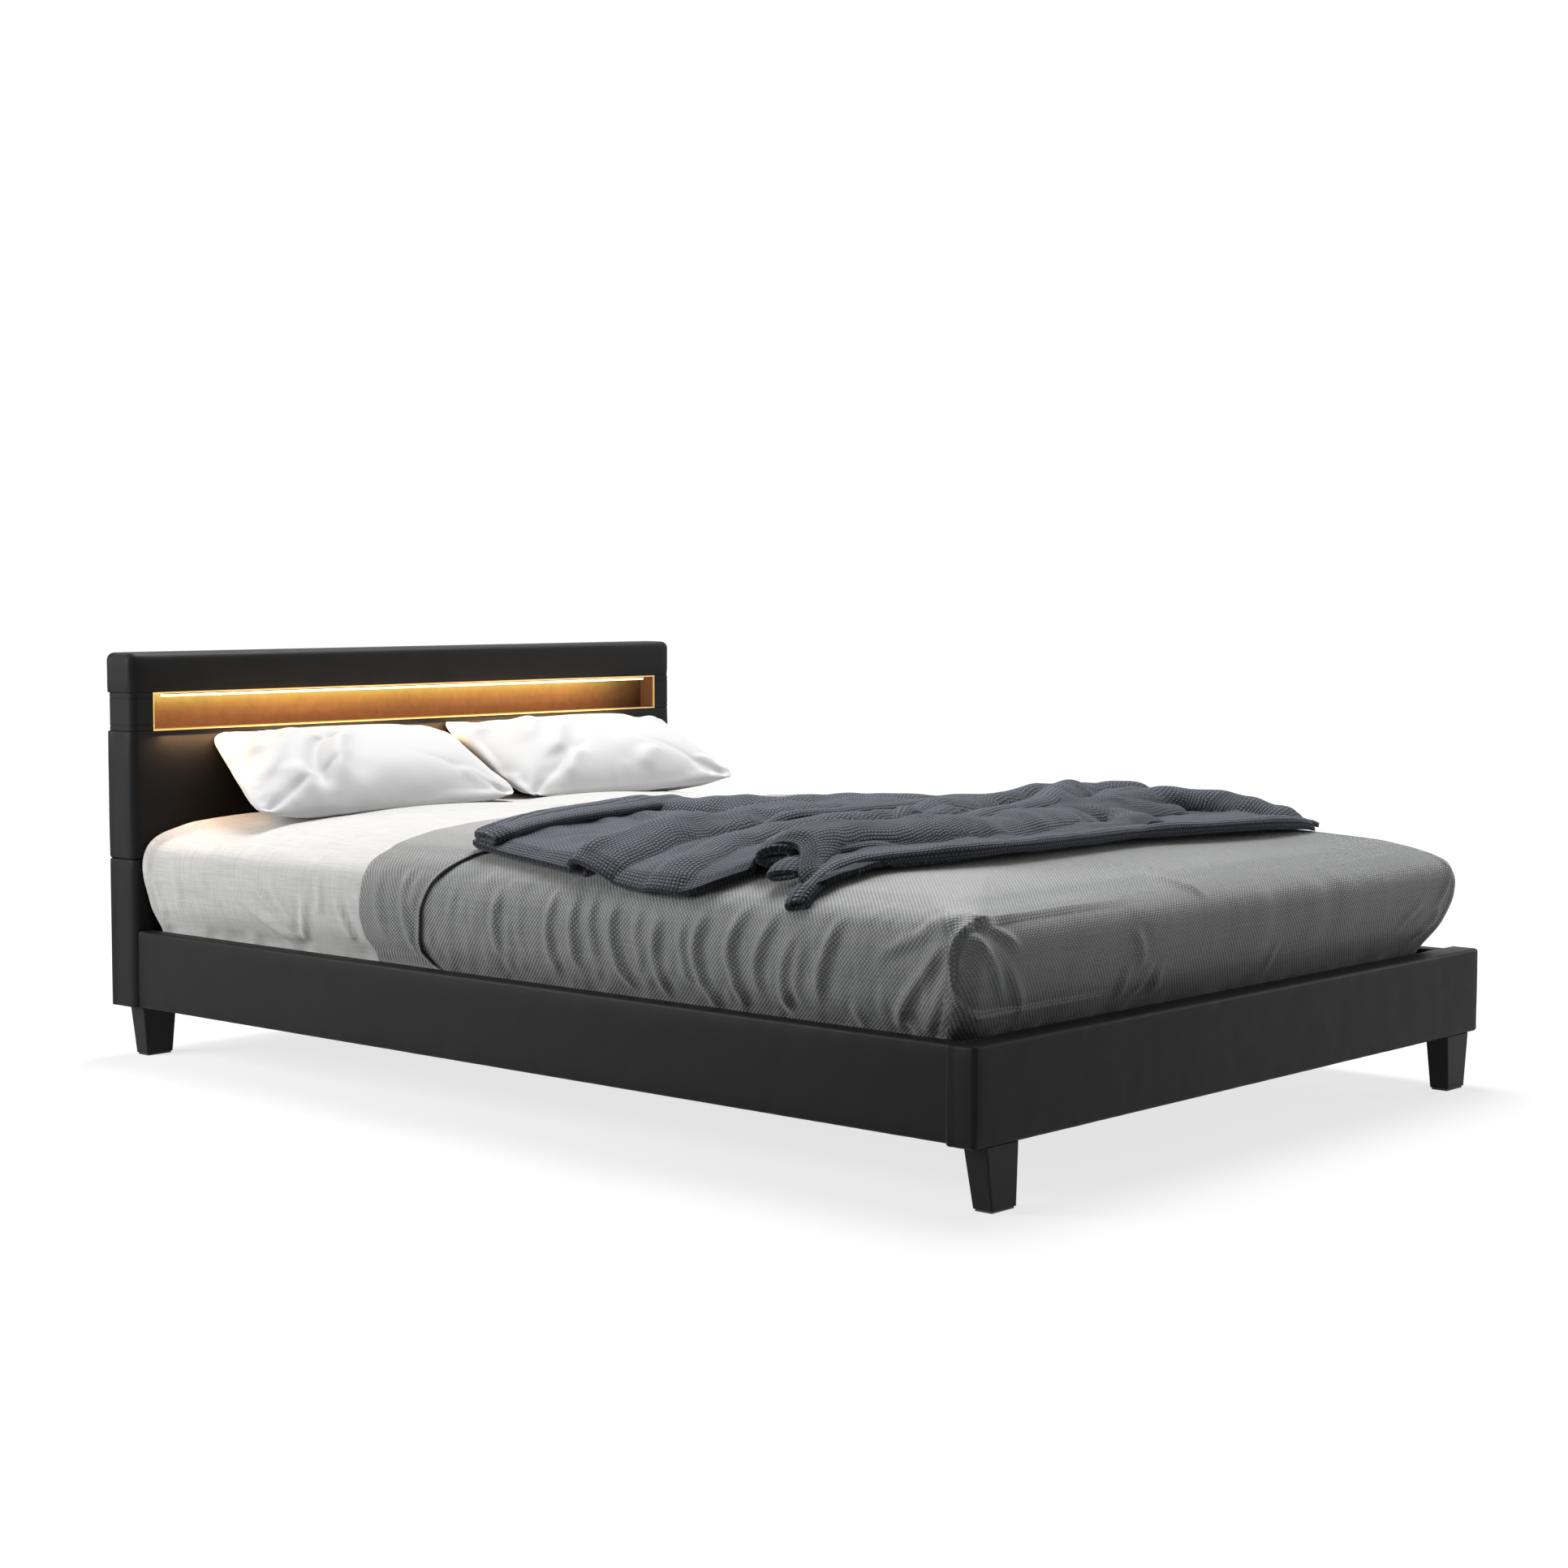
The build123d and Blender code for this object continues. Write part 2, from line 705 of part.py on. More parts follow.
# Side rails: a board in foam and leather, the leather open under the board
rail_y = (cavity_foot_y, headboard_front_y)
for side, side_name in ((-1, "left"), (1, "right")):
    rail_middle_x = side * (half_cavity + side_rail_thickness / 2)
    rail_middle_z = floor_clearance + side_rail_height / 2
    hide_width = side_rail_thickness - 2 * leather_thickness
    hide_height = side_rail_height - 2 * leather_thickness
    rail_end = Plane(origin=(rail_middle_x, rail_y[0], rail_middle_z), x_dir=(1, 0, 0), z_dir=(0, 1, 0))
    board_x = (rail_middle_x - hide_width / 2 + rail_padding, rail_middle_x + hide_width / 2 - rail_padding)
    board_z = (floor_clearance + leather_thickness, side_rail_top_z - leather_thickness - rail_padding)
    board_space = Space(board_x, rail_y, board_z)
    ledger_screws_here = ledger_screw_places(side)
    ledger_screw_depth = ledger_width + leather_thickness + rail_padding + bolt_bite
    slot = board_space.inset(-rail_padding + rail_return, -rail_padding + rail_return, bottom=-overrun)

    with BuildPart() as rail_cover:
        with BuildSketch(rail_end):
            RectangleRounded(side_rail_thickness, side_rail_height, rail_edge_radius)
            RectangleRounded(
                hide_width, hide_height, rail_edge_radius - leather_thickness, mode=Mode.SUBTRACT
            )
        extrude(amount=cavity_length)
        block(slot.inset(0, 0, -overrun, -overrun), Mode.SUBTRACT)
        bore_bolts("side")
        bore_screws(ledger_screws_here, ledger_screw_depth)
    save(rail_cover, f"side_rail_{side_name}_cover")

    with BuildPart() as rail_foam:
        with BuildSketch(rail_end):
            RectangleRounded(hide_width, hide_height, rail_edge_radius - leather_thickness)
        extrude(amount=cavity_length)
        block(board_space.inset(0, 0, -overrun, -overrun, -overrun), Mode.SUBTRACT)
        bore_bolts("side")
        bore_screws(ledger_screws_here, ledger_screw_depth)
    save(rail_foam, f"side_rail_{side_name}_foam")

    with BuildPart() as rail_board:
        block(board_space)
        bore_bolts("side")
        bore_screws(ledger_screws_here, ledger_screw_depth)
    save(rail_board, f"side_rail_{side_name}_board")

    ledger_x = sorted((side * half_cavity, side * (half_cavity - ledger_width)))
    ledger_inset = bracket_leg + bracket_gap
    with BuildPart() as ledger:
        block(
            Space(ledger_x, rail_y, (slat_bottom_z - ledger_height, slat_bottom_z)).inset(
                front=ledger_inset, back=ledger_inset
            )
        )
        bore_screws(ledger_screws_here, ledger_screw_depth)
    save(ledger, f"slat_ledger_{side_name}")

with BuildPart() as ledger_screws:
    for side in (-1, 1):
        for start, direction in ledger_screw_places(side):
            head_start = (start[0] - direction[0] * screw_head_height, start[1], start[2])
            rod(start, direction, screw_radius, ledger_screw_depth)
            rod(head_start, direction, screw_head_radius, screw_head_height)
save(ledger_screws, "ledger_screws")

# Foot rail
foot_space = Space(
    (-foot_rail_half, foot_rail_half), (foot_face_y, cavity_foot_y), (floor_clearance, foot_rail_top_z)
)
foot_outside = rounded_solid(foot_space, foot_corner_radius, rail_edge_radius, rail_edge_radius)
foot_cavity = rounded_solid(
    foot_space.inset_all(leather_thickness),
    foot_corner_radius - leather_thickness,
    rail_edge_radius - leather_thickness,
    rail_edge_radius - leather_thickness,
)
foot_padding = leather_thickness + rail_padding
foot_board_space = foot_space.inset(
    leather_thickness + foot_corner_radius,
    leather_thickness + foot_corner_radius,
    foot_padding,
    foot_padding,
    leather_thickness,
    foot_padding,
)

with BuildPart() as foot_rail_cover:
    add(foot_outside)
    add(foot_cavity, mode=Mode.SUBTRACT)
    block(
        foot_space.inset(
            rail_return, rail_return, rail_return, rail_return, -overrun, foot_space.size[2] / 2
        ),
        Mode.SUBTRACT,
    )
    bore_bolts("foot")
    bore_screws(foot_hanger_screws, hanger_screw_depth["foot"])
save(foot_rail_cover, "foot_rail_cover")

with BuildPart() as foot_rail_foam:
    add(foot_cavity)
    block(foot_board_space.inset(bottom=-overrun), Mode.SUBTRACT)
    bore_bolts("foot")
    bore_screws(foot_hanger_screws, hanger_screw_depth["foot"])
save(foot_rail_foam, "foot_rail_foam")

with BuildPart() as foot_rail_board:
    block(foot_board_space)
    bore_bolts("foot")
    bore_screws(foot_hanger_screws, hanger_screw_depth["foot"])
    bore_leg_bolts(leg_bolt_places, leg_bolt_base_z)
save(foot_rail_board, "foot_rail_board")

# Corner brackets with their bolts
bracket_z = (floor_clearance + bracket_rise, floor_clearance + bracket_rise + bracket_height)
with BuildPart() as corner_brackets:
    for side in (-1, 1):
        for end, end_y in ((-1, cavity_foot_y), (1, headboard_front_y)):
            along_x = sorted((side * half_cavity, side * (half_cavity - bracket_leg)))
            along_y = sorted((end_y, end_y - end * bracket_leg))
            wall_x = sorted((side * half_cavity, side * (half_cavity - bracket_thickness)))
            wall_y = sorted((end_y, end_y - end * bracket_thickness))
            block(Space(along_x, wall_y, bracket_z))
            block(Space(wall_x, along_y, bracket_z))
    for member in ("side", "foot", "head"):
        bore_bolts(member)
save(corner_brackets, "corner_brackets")

with BuildPart() as bracket_bolts:
    for start, direction, depth, _ in bolts:
        head_start = tuple(place - way * bolt_head_height for place, way in zip(start, direction))
        rod(start, direction, bolt_radius, depth)
        rod(head_start, direction, bolt_head_radius, bolt_head_height)
save(bracket_bolts, "bracket_bolts")

# Slats on their ledgers, tied by two straps
slat_span = cavity_length - 2 * slat_margin - slat_width
slat_middle_y = (cavity_foot_y + headboard_front_y) / 2
slat_length = 2 * (half_cavity - slat_end_gap)
with BuildPart() as slats:
    with Locations((0, slat_middle_y, slat_bottom_z + slat_thickness / 2)):
        with GridLocations(slat_length, slat_span / (slat_count - 1), 1, slat_count):
            Box(slat_length, slat_width, slat_thickness)
save(slats, "slats")

strap_outer = half_cavity - ledger_width - strap_gap
with BuildPart() as slat_straps:
    for side in (-1, 1):
        strap_x = sorted((side * strap_outer, side * (strap_outer - strap_width)))
        strap_y = (slat_middle_y - slat_span / 2, slat_middle_y + slat_span / 2)
        block(Space(strap_x, strap_y, (slat_bottom_z - strap_thickness, slat_bottom_z)))
save(slat_straps, "slat_straps")

# Centre beam in its hangers
beam_end_gap = hanger_thickness + beam_play
beam_space = Space(
    (-beam_width / 2, beam_width / 2), rail_y, (slat_bottom_z - beam_height, slat_bottom_z)
).inset(front=beam_end_gap, back=beam_end_gap)
with BuildPart() as centre_beam:
    block(beam_space)
    bore_leg_bolts(centre_leg_places, beam_space.z[0] - leg_bolt_length + leg_bolt_bite)
save(centre_beam, "centre_beam")

hanger_half = beam_width / 2 + beam_play + hanger_thickness
hanger_z = (beam_space.z[0] - hanger_thickness, beam_space.z[1] - hanger_lip_drop)
with BuildPart() as beam_hangers:
    for end, end_y in ((-1, cavity_foot_y), (1, headboard_front_y)):
        cup_y = sorted((end_y, end_y - end * hanger_depth))
        flange_y = sorted((end_y, end_y - end * hanger_thickness))
        flange_half = hanger_half + hanger_flange
        seat_y = sorted((end_y - end * hanger_thickness, end_y - end * (hanger_depth + overrun)))
        seat_half = hanger_half - hanger_thickness
        block(Space((-hanger_half, hanger_half), cup_y, hanger_z))
        block(Space((-flange_half, flange_half), flange_y, hanger_z))
        block(Space((-seat_half, seat_half), seat_y, (beam_space.z[0], hanger_z[1] + overrun)), Mode.SUBTRACT)
    bore_screws(hanger_screw_places(), hanger_screw_depth["head"])
save(beam_hangers, "beam_hangers")

with BuildPart() as hanger_screws:
    for places, member in ((foot_hanger_screws, "foot"), (head_hanger_screws, "head")):
        for start, direction in places:
            head_start = (start[0], start[1] - direction[1] * screw_head_height, start[2])
            rod(start, direction, screw_radius, hanger_screw_depth[member])
            rod(head_start, direction, screw_head_radius, screw_head_height)
save(hanger_screws, "hanger_screws")

# Legs, tapered to their glides
for leg_name, (side, end, outer_x, face_y) in leg_places().items():
    top_x, top_y = leg_centre(side, end, outer_x, face_y)
    bottom_x = side * (outer_x - leg_outer_taper - leg_bottom_width / 2)
    bottom_y = face_y - end * leg_bottom_depth / 2
    with BuildPart() as leg:
        with BuildSketch(Plane.XY.offset(glide_thickness)):
            with Locations((bottom_x, bottom_y)):
                RectangleRounded(leg_bottom_width, leg_bottom_depth, leg_corner_radius)
        with BuildSketch(Plane.XY.offset(floor_clearance)):
            with Locations((top_x, top_y)):
                RectangleRounded(leg_top_width, leg_top_depth, leg_corner_radius)
        loft(ruled=True)
        bore_leg_bolts(leg_bolt_places, leg_bolt_base_z)
    save(leg, leg_name)

with BuildPart() as centre_legs:
    centre_leg_height = beam_space.z[0] - glide_thickness
    for x, y in centre_leg_places:
        rod((x, y, glide_thickness), (0, 0, 1), centre_leg_radius, centre_leg_height)
    bore_leg_bolts(centre_leg_places, beam_space.z[0] - leg_bolt_length + leg_bolt_bite)
save(centre_legs, "centre_legs")

with BuildPart() as leg_glides:
    for side, end, outer_x, face_y in leg_places().values():
        glide_x = side * (outer_x - leg_outer_taper - leg_bottom_width / 2)
        glide_y = face_y - end * leg_bottom_depth / 2
        with Locations((glide_x, glide_y, glide_thickness / 2)):
            Box(leg_bottom_width - 2 * glide_inset, leg_bottom_depth - 2 * glide_inset, glide_thickness)
    for x, y in centre_leg_places:
        rod((x, y, 0), (0, 0, 1), centre_leg_radius - glide_inset, glide_thickness)
save(leg_glides, "leg_glides")

with BuildPart() as leg_bolts:
    for x, y in leg_bolt_places:
        rod((x, y, leg_bolt_base_z), (0, 0, 1), bolt_radius, leg_bolt_length)
    for x, y in centre_leg_places:
        rod((x, y, beam_space.z[0] - leg_bolt_length + leg_bolt_bite), (0, 0, 1), bolt_radius, leg_bolt_length)
save(leg_bolts, "leg_bolts")

# Mattress and bedding: one crowned shape with drawn-in sides, each layer outside the one before
bedding_bottom_z = slat_top_z + soft_gap
mattress_foot_y = cavity_foot_y + end_play
mattress_head_y = headboard_front_y - end_play


def outward_step(before, after):
    """Unit step square to a stretch of the side's outline, pointing out of the mattress."""
    run, rise = after[0] - before[0], after[1] - before[1]
    length = hypot(run, rise)
    return rise / length, -run / length


def bedding_rings(grow):
    """Level by level, how far the sides, the foot and the head stand out, all moved out by grow."""
    side_line = []
    for height, swell, draw in side_shape_share:
        side_line.append((side_swell * swell - crown_reach * draw, mattress_height * height))
    floor_point = (side_line[0][0] - crown_reach, side_line[0][1])
    crown_point = (side_line[-1][0] - crown_reach, side_line[-1][1])
    line = [floor_point, *side_line, crown_point]
    rings = []
    for index, (height, swell, draw) in enumerate(side_shape_share):
        first = outward_step(line[index], line[index + 1])
        second = outward_step(line[index + 1], line[index + 2])
        middle = (first[0] + second[0], first[1] + second[1])
        reach = 2 * grow / hypot(*middle) ** 2
        out, up = middle[0] * reach, middle[1] * reach
        rings.append(
            (
                side_swell * swell - crown_reach * draw + out,
                foot_swell * swell - crown_reach * draw + out,
                head_swell * swell - head_crown_reach * draw + out,
                bedding_bottom_z + mattress_height * height + up,
            )
        )
    return rings


def bedding_block(grow):
    """The crowned mattress shape, moved out by grow on all sides."""
    with BuildPart() as shape:
        for side_out, foot_out, head_out, z in bedding_rings(grow):
            foot_y = mattress_foot_y - foot_out
            head_y = mattress_head_y + head_out
            with BuildSketch(Plane.XY.offset(z)):
                with Locations((0, (foot_y + head_y) / 2)):
                    RectangleRounded(
                        mattress_width + 2 * side_out, head_y - foot_y, bedding_corner_radius + grow
                    )
        loft(ruled=True)
    return shape.part


ticking_grow = -sheet_thickness - soft_gap
filling_grow = ticking_grow - ticking_thickness - soft_gap
spread_grow = soft_gap + spread_thickness
turndown_grow = spread_grow + turndown_thickness
bedding_reach = mattress_width + mattress_length
bedding_top_z = bedding_bottom_z + mattress_height
comfort_bottom_z = bedding_top_z - comfort_layer_height
everywhere = Space(
    (-bedding_reach, bedding_reach), (-bedding_reach, bedding_reach), (0, headboard_top_z + bedding_reach)
)
spread_head_y = foot_face_y + spread_head_distance
turndown_foot_y = spread_head_y - turndown_width

filling = bedding_block(filling_grow)
with BuildPart() as mattress_core:
    add(filling)
    block(everywhere.inset(bottom=comfort_bottom_z), Mode.SUBTRACT)
save(mattress_core, "mattress_core")

with BuildPart() as mattress_comfort_layer:
    add(filling)
    block(
        Space(everywhere.x, everywhere.y, (0, comfort_bottom_z + soft_gap)), Mode.SUBTRACT
    )
save(mattress_comfort_layer, "mattress_comfort_layer")

ticking_outside = bedding_block(ticking_grow)
ticking_inside = bedding_block(ticking_grow - ticking_thickness)
with BuildPart() as mattress_cover:
    add(ticking_outside)
    add(ticking_inside, mode=Mode.SUBTRACT)
save(mattress_cover, "mattress_cover")

hem_space = Space(
    (-mattress_width / 2, mattress_width / 2), (mattress_foot_y, mattress_head_y), (0, bedding_bottom_z)
)
sheet_outside = bedding_block(0)
sheet_inside = bedding_block(-sheet_thickness)
with BuildPart() as fitted_sheet:
    add(sheet_outside)
    add(sheet_inside, mode=Mode.SUBTRACT)
    block(
        hem_space.inset(
            sheet_hem_width, sheet_hem_width, sheet_hem_width, sheet_hem_width, 0, -comfort_layer_height
        ),
        Mode.SUBTRACT,
    )
save(fitted_sheet, "fitted_sheet")

spread_inside = bedding_block(soft_gap)
spread_outside = bedding_block(spread_grow)
turndown_inside = bedding_block(spread_grow - turndown_overlap)
turndown_outside = bedding_block(turndown_grow)
below_hem = Space(everywhere.x, everywhere.y, (0, bedding_bottom_z + spread_hem_rise))
with BuildPart() as turndown:
    add(turndown_outside)
    add(turndown_inside, mode=Mode.SUBTRACT)
    block(Space(everywhere.x, (-bedding_reach, turndown_foot_y), everywhere.z), Mode.SUBTRACT)
    block(Space(everywhere.x, (spread_head_y, bedding_reach), everywhere.z), Mode.SUBTRACT)
    block(below_hem, Mode.SUBTRACT)
with BuildPart() as bedspread:
    add(spread_outside)
    add(spread_inside, mode=Mode.SUBTRACT)
    block(Space(everywhere.x, (spread_head_y, bedding_reach), everywhere.z), Mode.SUBTRACT)
    block(below_hem, Mode.SUBTRACT)
    add(turndown.part)
save(bedspread, "bedspread")

# Pillows: a seam all round with pulled-out corners, and flat only where they rest
pillow_tilt = radians(pillow_lean_angle)
pillow_middle_y = headboard_front_y - pillow_heel_distance + cos(pillow_tilt) * pillow_depth / 2
pillow_middle_z = bedding_top_z + soft_gap + sin(pillow_tilt) * pillow_depth / 2


def pillow_solid(middle_x, turn, shrink):
    """Layers of the pillow, from its underside to its top, in the leaning plane."""
    lean = Plane(
        origin=(middle_x, pillow_middle_y, pillow_middle_z),
        x_dir=(cos(radians(turn)), sin(radians(turn)), 0),
        z_dir=(
            sin(radians(turn)) * sin(pillow_tilt),
            -cos(radians(turn)) * sin(pillow_tilt),
            cos(pillow_tilt),
        ),
    )
    layers = [(-rise, drawn) for rise, drawn in reversed(pillow_layer_share[1:])]
    layers += list(pillow_layer_share)
    half_thickness = pillow_half_thickness - shrink
    with BuildPart() as shape:
        for rise, drawn in layers:
            inward = drawn * pillow_depth / 2 + shrink
            fade = 1 - abs(rise)
            corner_x = pillow_width / 2 - inward + pillow_ear * fade
            corner_y = pillow_depth / 2 - inward + pillow_ear * fade
            middle_of_end = corner_x - pillow_end_draw * fade
            middle_of_side = corner_y - pillow_side_draw * fade
            with BuildSketch(lean.offset(rise * half_thickness)):
                with BuildLine():
                    bulge = pillow_ear * abs(rise)
                    ThreePointArc(
                        (-corner_x, -corner_y), (0, -middle_of_side - bulge), (corner_x, -corner_y)
                    )
                    ThreePointArc((corner_x, -corner_y), (middle_of_end + bulge, 0), (corner_x, corner_y))
                    ThreePointArc((corner_x, corner_y), (0, middle_of_side + bulge), (-corner_x, corner_y))
                    ThreePointArc(
                        (-corner_x, corner_y), (-middle_of_end - bulge, 0), (-corner_x, -corner_y)
                    )
                make_face()
        loft(ruled=True)
    return shape.part


for side_name, middle_x, turn in (
    ("left", pillow_left_x, pillow_left_turn),
    ("right", pillow_right_x, pillow_right_turn),
):
    pillow_layers = []
    for shrink in (0, pillow_case_thickness, pillow_case_thickness + soft_gap):
        puffed = pillow_solid(middle_x, turn, shrink)
        bed_below = bedding_block(soft_gap + shrink)
        headboard_line = headboard_front_y - soft_gap - shrink
        with BuildPart() as settled:
            add(puffed)
            add(bed_below, mode=Mode.SUBTRACT)
            block(Space(everywhere.x, (headboard_line, bedding_reach), everywhere.z), Mode.SUBTRACT)
        pillow_layers.append(settled.part)
    with BuildPart() as pillow_case:
        add(pillow_layers[0])
        add(pillow_layers[1], mode=Mode.SUBTRACT)
    save(pillow_case, f"pillow_{side_name}_case")
    with BuildPart() as pillow_filling:
        add(pillow_layers[2])
    save(pillow_filling, f"pillow_{side_name}_filling")

# Throw: rows of soft folds over the bedspread, its left edge hanging over the side
throw_foot_y = foot_face_y + throw_foot_distance
throw_floor_z = bedding_bottom_z + throw_drop_height
throw_top_z = bedding_top_z + spread_grow + throw_thickness
turndown_zone = Space(everywhere.x, (turndown_foot_y - soft_gap, bedding_reach), everywhere.z)
spread_clearance = bedding_block(spread_grow + soft_gap)
turndown_clearance_block = bedding_block(turndown_grow + soft_gap)
with BuildPart() as turndown_clearance:
    add(turndown_clearance_block)
    block(turndown_zone, Mode.INTERSECT)

with BuildPart() as throw:
    for station, foot_edge, head_edge, fold, droop in throw_station_share:
        first_y = throw_foot_y + throw_length * foot_edge
        length = throw_length * (head_edge - foot_edge)
        height = throw_fold_height * fold
        base_z = throw_top_z - throw_droop * droop
        valleys = [(first_y + length * along, base_z + height * up) for along, up in throw_valley_share]
        crests = [(first_y + length * along, base_z + height * up) for along, up in throw_crest_share]
        with BuildSketch(Plane.YZ.offset(throw_left_x + throw_width * station)):
            with BuildLine():
                Line((first_y, throw_floor_z), valleys[0])
                for before, crest, after in zip(valleys, crests, valleys[1:]):
                    ThreePointArc(before, crest, after)
                Line(valleys[-1], (first_y + length, throw_floor_z))
                Line((first_y + length, throw_floor_z), (first_y, throw_floor_z))
            make_face()
    loft(ruled=True)
    add(spread_clearance, mode=Mode.SUBTRACT)
    add(turndown_clearance.part, mode=Mode.SUBTRACT)
save(throw, "throw")
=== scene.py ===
from math import cos, pi, radians, sin

import bpy
import numpy as np
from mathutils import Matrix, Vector


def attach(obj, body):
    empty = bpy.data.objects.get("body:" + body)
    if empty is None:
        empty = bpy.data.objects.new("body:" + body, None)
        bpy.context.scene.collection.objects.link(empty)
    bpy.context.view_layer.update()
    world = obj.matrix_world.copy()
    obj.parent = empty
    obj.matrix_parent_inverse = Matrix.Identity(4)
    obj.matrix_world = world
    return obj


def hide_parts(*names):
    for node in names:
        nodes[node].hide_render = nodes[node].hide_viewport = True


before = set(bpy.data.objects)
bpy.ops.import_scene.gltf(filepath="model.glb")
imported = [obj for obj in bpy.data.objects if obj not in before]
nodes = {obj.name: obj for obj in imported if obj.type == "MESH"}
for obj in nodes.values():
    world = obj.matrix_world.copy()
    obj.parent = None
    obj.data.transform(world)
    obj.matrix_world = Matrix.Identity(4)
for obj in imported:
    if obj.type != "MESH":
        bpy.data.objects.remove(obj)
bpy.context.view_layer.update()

M = {}

# Places of the bed, in metres. Points read on a side or on the throw count Y from the foot.
FOOT = -1.077
FOOT_RAIL_BACK = -1.022
HEAD_FRONT = 0.992
SHELL_BACK = 1.073
BACK_PROUD = 0.0004
RAIL_INNER = 0.701
RAIL_OUTER = 0.735
FOOT_HALF = 0.750
HEAD_HALF = 0.743
RAIL_BOTTOM = 0.100
SIDE_RAIL_TOP = 0.250
FOOT_RAIL_TOP = 0.253
SEAM = 0.389
SEAM_LINE = 0.0006
NICHE_BOTTOM = 0.637
NICHE_TOP = 0.7115
HEAD_TOP = 0.789
NICHE_HALF = 0.692
BED_BOTTOM = 0.2058
BED_HEIGHT = 0.2682
BED_HALF = 0.700
BED_FOOT = -1.015
BED_HEAD = 0.985
BED_CORNER = 0.032
SPREAD_HEAD = 0.343
SPREAD_GROW = 0.0083
BAND_GROW = 0.0145
HEM_WIDTH = 0.0022


# Mesh helpers
def new_object(name, data):
    ob = bpy.data.objects.new(name, data)
    bpy.context.scene.collection.objects.link(ob)
    return ob


def smooth_faces(me):
    me.polygons.foreach_set("use_smooth", [True] * len(me.polygons))


def points_of(ob):
    return np.array([v.co[:] for v in ob.data.vertices])


def mesh_object(name, verts, faces, uv=None):
    me = bpy.data.meshes.new(name)
    verts = np.asarray(verts, float).reshape(-1, 3)
    me.from_pydata(verts.tolist(), [], np.asarray(faces).tolist())
    me.update()
    if uv is not None:
        layer = me.uv_layers.new(name="UVMap")
        corner = np.zeros(len(me.loops), np.int32)
        me.loops.foreach_get("vertex_index", corner)
        layer.data.foreach_set("uv", np.asarray(uv, np.float32).reshape(-1, 2)[corner].ravel())
    smooth_faces(me)
    return new_object(name, me)


def grid_faces(rows, cols, wrap=False):
    i = np.arange(rows - 1)[:, None]
    j = np.arange(cols if wrap else cols - 1)[None, :]
    k = (j + 1) % cols
    corners = (i * cols + j, i * cols + k, (i + 1) * cols + k, (i + 1) * cols + j)
    return np.stack(np.broadcast_arrays(*corners), -1).reshape(-1, 4)


def grid_object(name, points, uv=None, wrap=False, flip=False):
    faces = grid_faces(*points.shape[:2], wrap)
    return mesh_object(name, points, faces[:, ::-1] if flip else faces, uv)


def apply_modifiers(ob):
    graph = bpy.context.evaluated_depsgraph_get()
    shaped = ob.evaluated_get(graph)
    me = bpy.data.meshes.new_from_object(shaped, preserve_all_data_layers=True, depsgraph=graph)
    ob.modifiers.clear()
    ob.data = me
    me.name = ob.name
    return ob


def thicken(ob, thickness):
    """Thickness added on the inner side of a cloth."""
    m = ob.modifiers.new("thickness", "SOLIDIFY")
    m.thickness = thickness
    m.offset = -1.0
    return apply_modifiers(ob)


def weld(ob, distance):
    m = ob.modifiers.new("weld", "WELD")
    m.merge_threshold = distance
    return apply_modifiers(ob)


def select_only(objects):
    bpy.ops.object.select_all(action="DESELECT")
    for o in objects:
        o.select_set(True)
    bpy.context.view_layer.objects.active = objects[0]


def join(name, objects):
    select_only(objects)
    bpy.ops.object.join()
    objects[0].name = name
    objects[0].data.name = name
    return objects[0]


def close_holes(ob):
    """Fills the open ends of a ring mesh and turns its faces outward."""
    select_only([ob])
    bpy.ops.object.mode_set(mode="EDIT")
    bpy.ops.mesh.select_all(action="SELECT")
    bpy.ops.mesh.remove_doubles(threshold=0.0004)
    bpy.ops.mesh.fill_holes(sides=0)
    bpy.ops.mesh.normals_make_consistent(inside=False)
    bpy.ops.object.mode_set(mode="OBJECT")
    smooth_faces(ob.data)
    return ob


def finish_piece(ob, material, body, slot, *replaced):
    ob.data.materials.clear()
    ob.data.materials.append(M[material])
    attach(ob, body)
    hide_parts(*replaced)


# Shaping helpers
def smoothstep(a, b, x):
    t = np.clip((x - a) / (b - a), 0, 1)
    return t * t * (3 - 2 * t)


def bell(x, width):
    return np.exp(-((x / width) ** 2))


def noise(points, scale, seed):
    """Smooth noise between -1 and 1 at points of any shape (..., 3)."""
    p = np.asarray(points, float) * scale + seed * 17.31
    base = np.floor(p).astype(np.int64)
    f = p - base
    f = f * f * f * (f * (f * 6 - 15) + 10)
    total = 0
    for dx in (0, 1):
        for dy in (0, 1):
            for dz in (0, 1):
                h = ((base + (dx, dy, dz)) * (374761393, 668265263, 974634777)).sum(-1)
                h = (h ^ (h >> 13)) * 1274126177 & 0xFFFFFFFF
                h = (h ^ (h >> 16)) & 0xFFFF
                w = np.where(dx, f[..., 0], 1 - f[..., 0]) * np.where(dy, f[..., 1], 1 - f[..., 1])
                total = total + w * np.where(dz, f[..., 2], 1 - f[..., 2]) * (h / 32767.5 - 1)
    return total


def lengths_along(points):
    """Lengths along a polyline from its start, one per point."""
    return np.concatenate([[0], np.cumsum(np.linalg.norm(np.diff(points, axis=0), axis=1))])


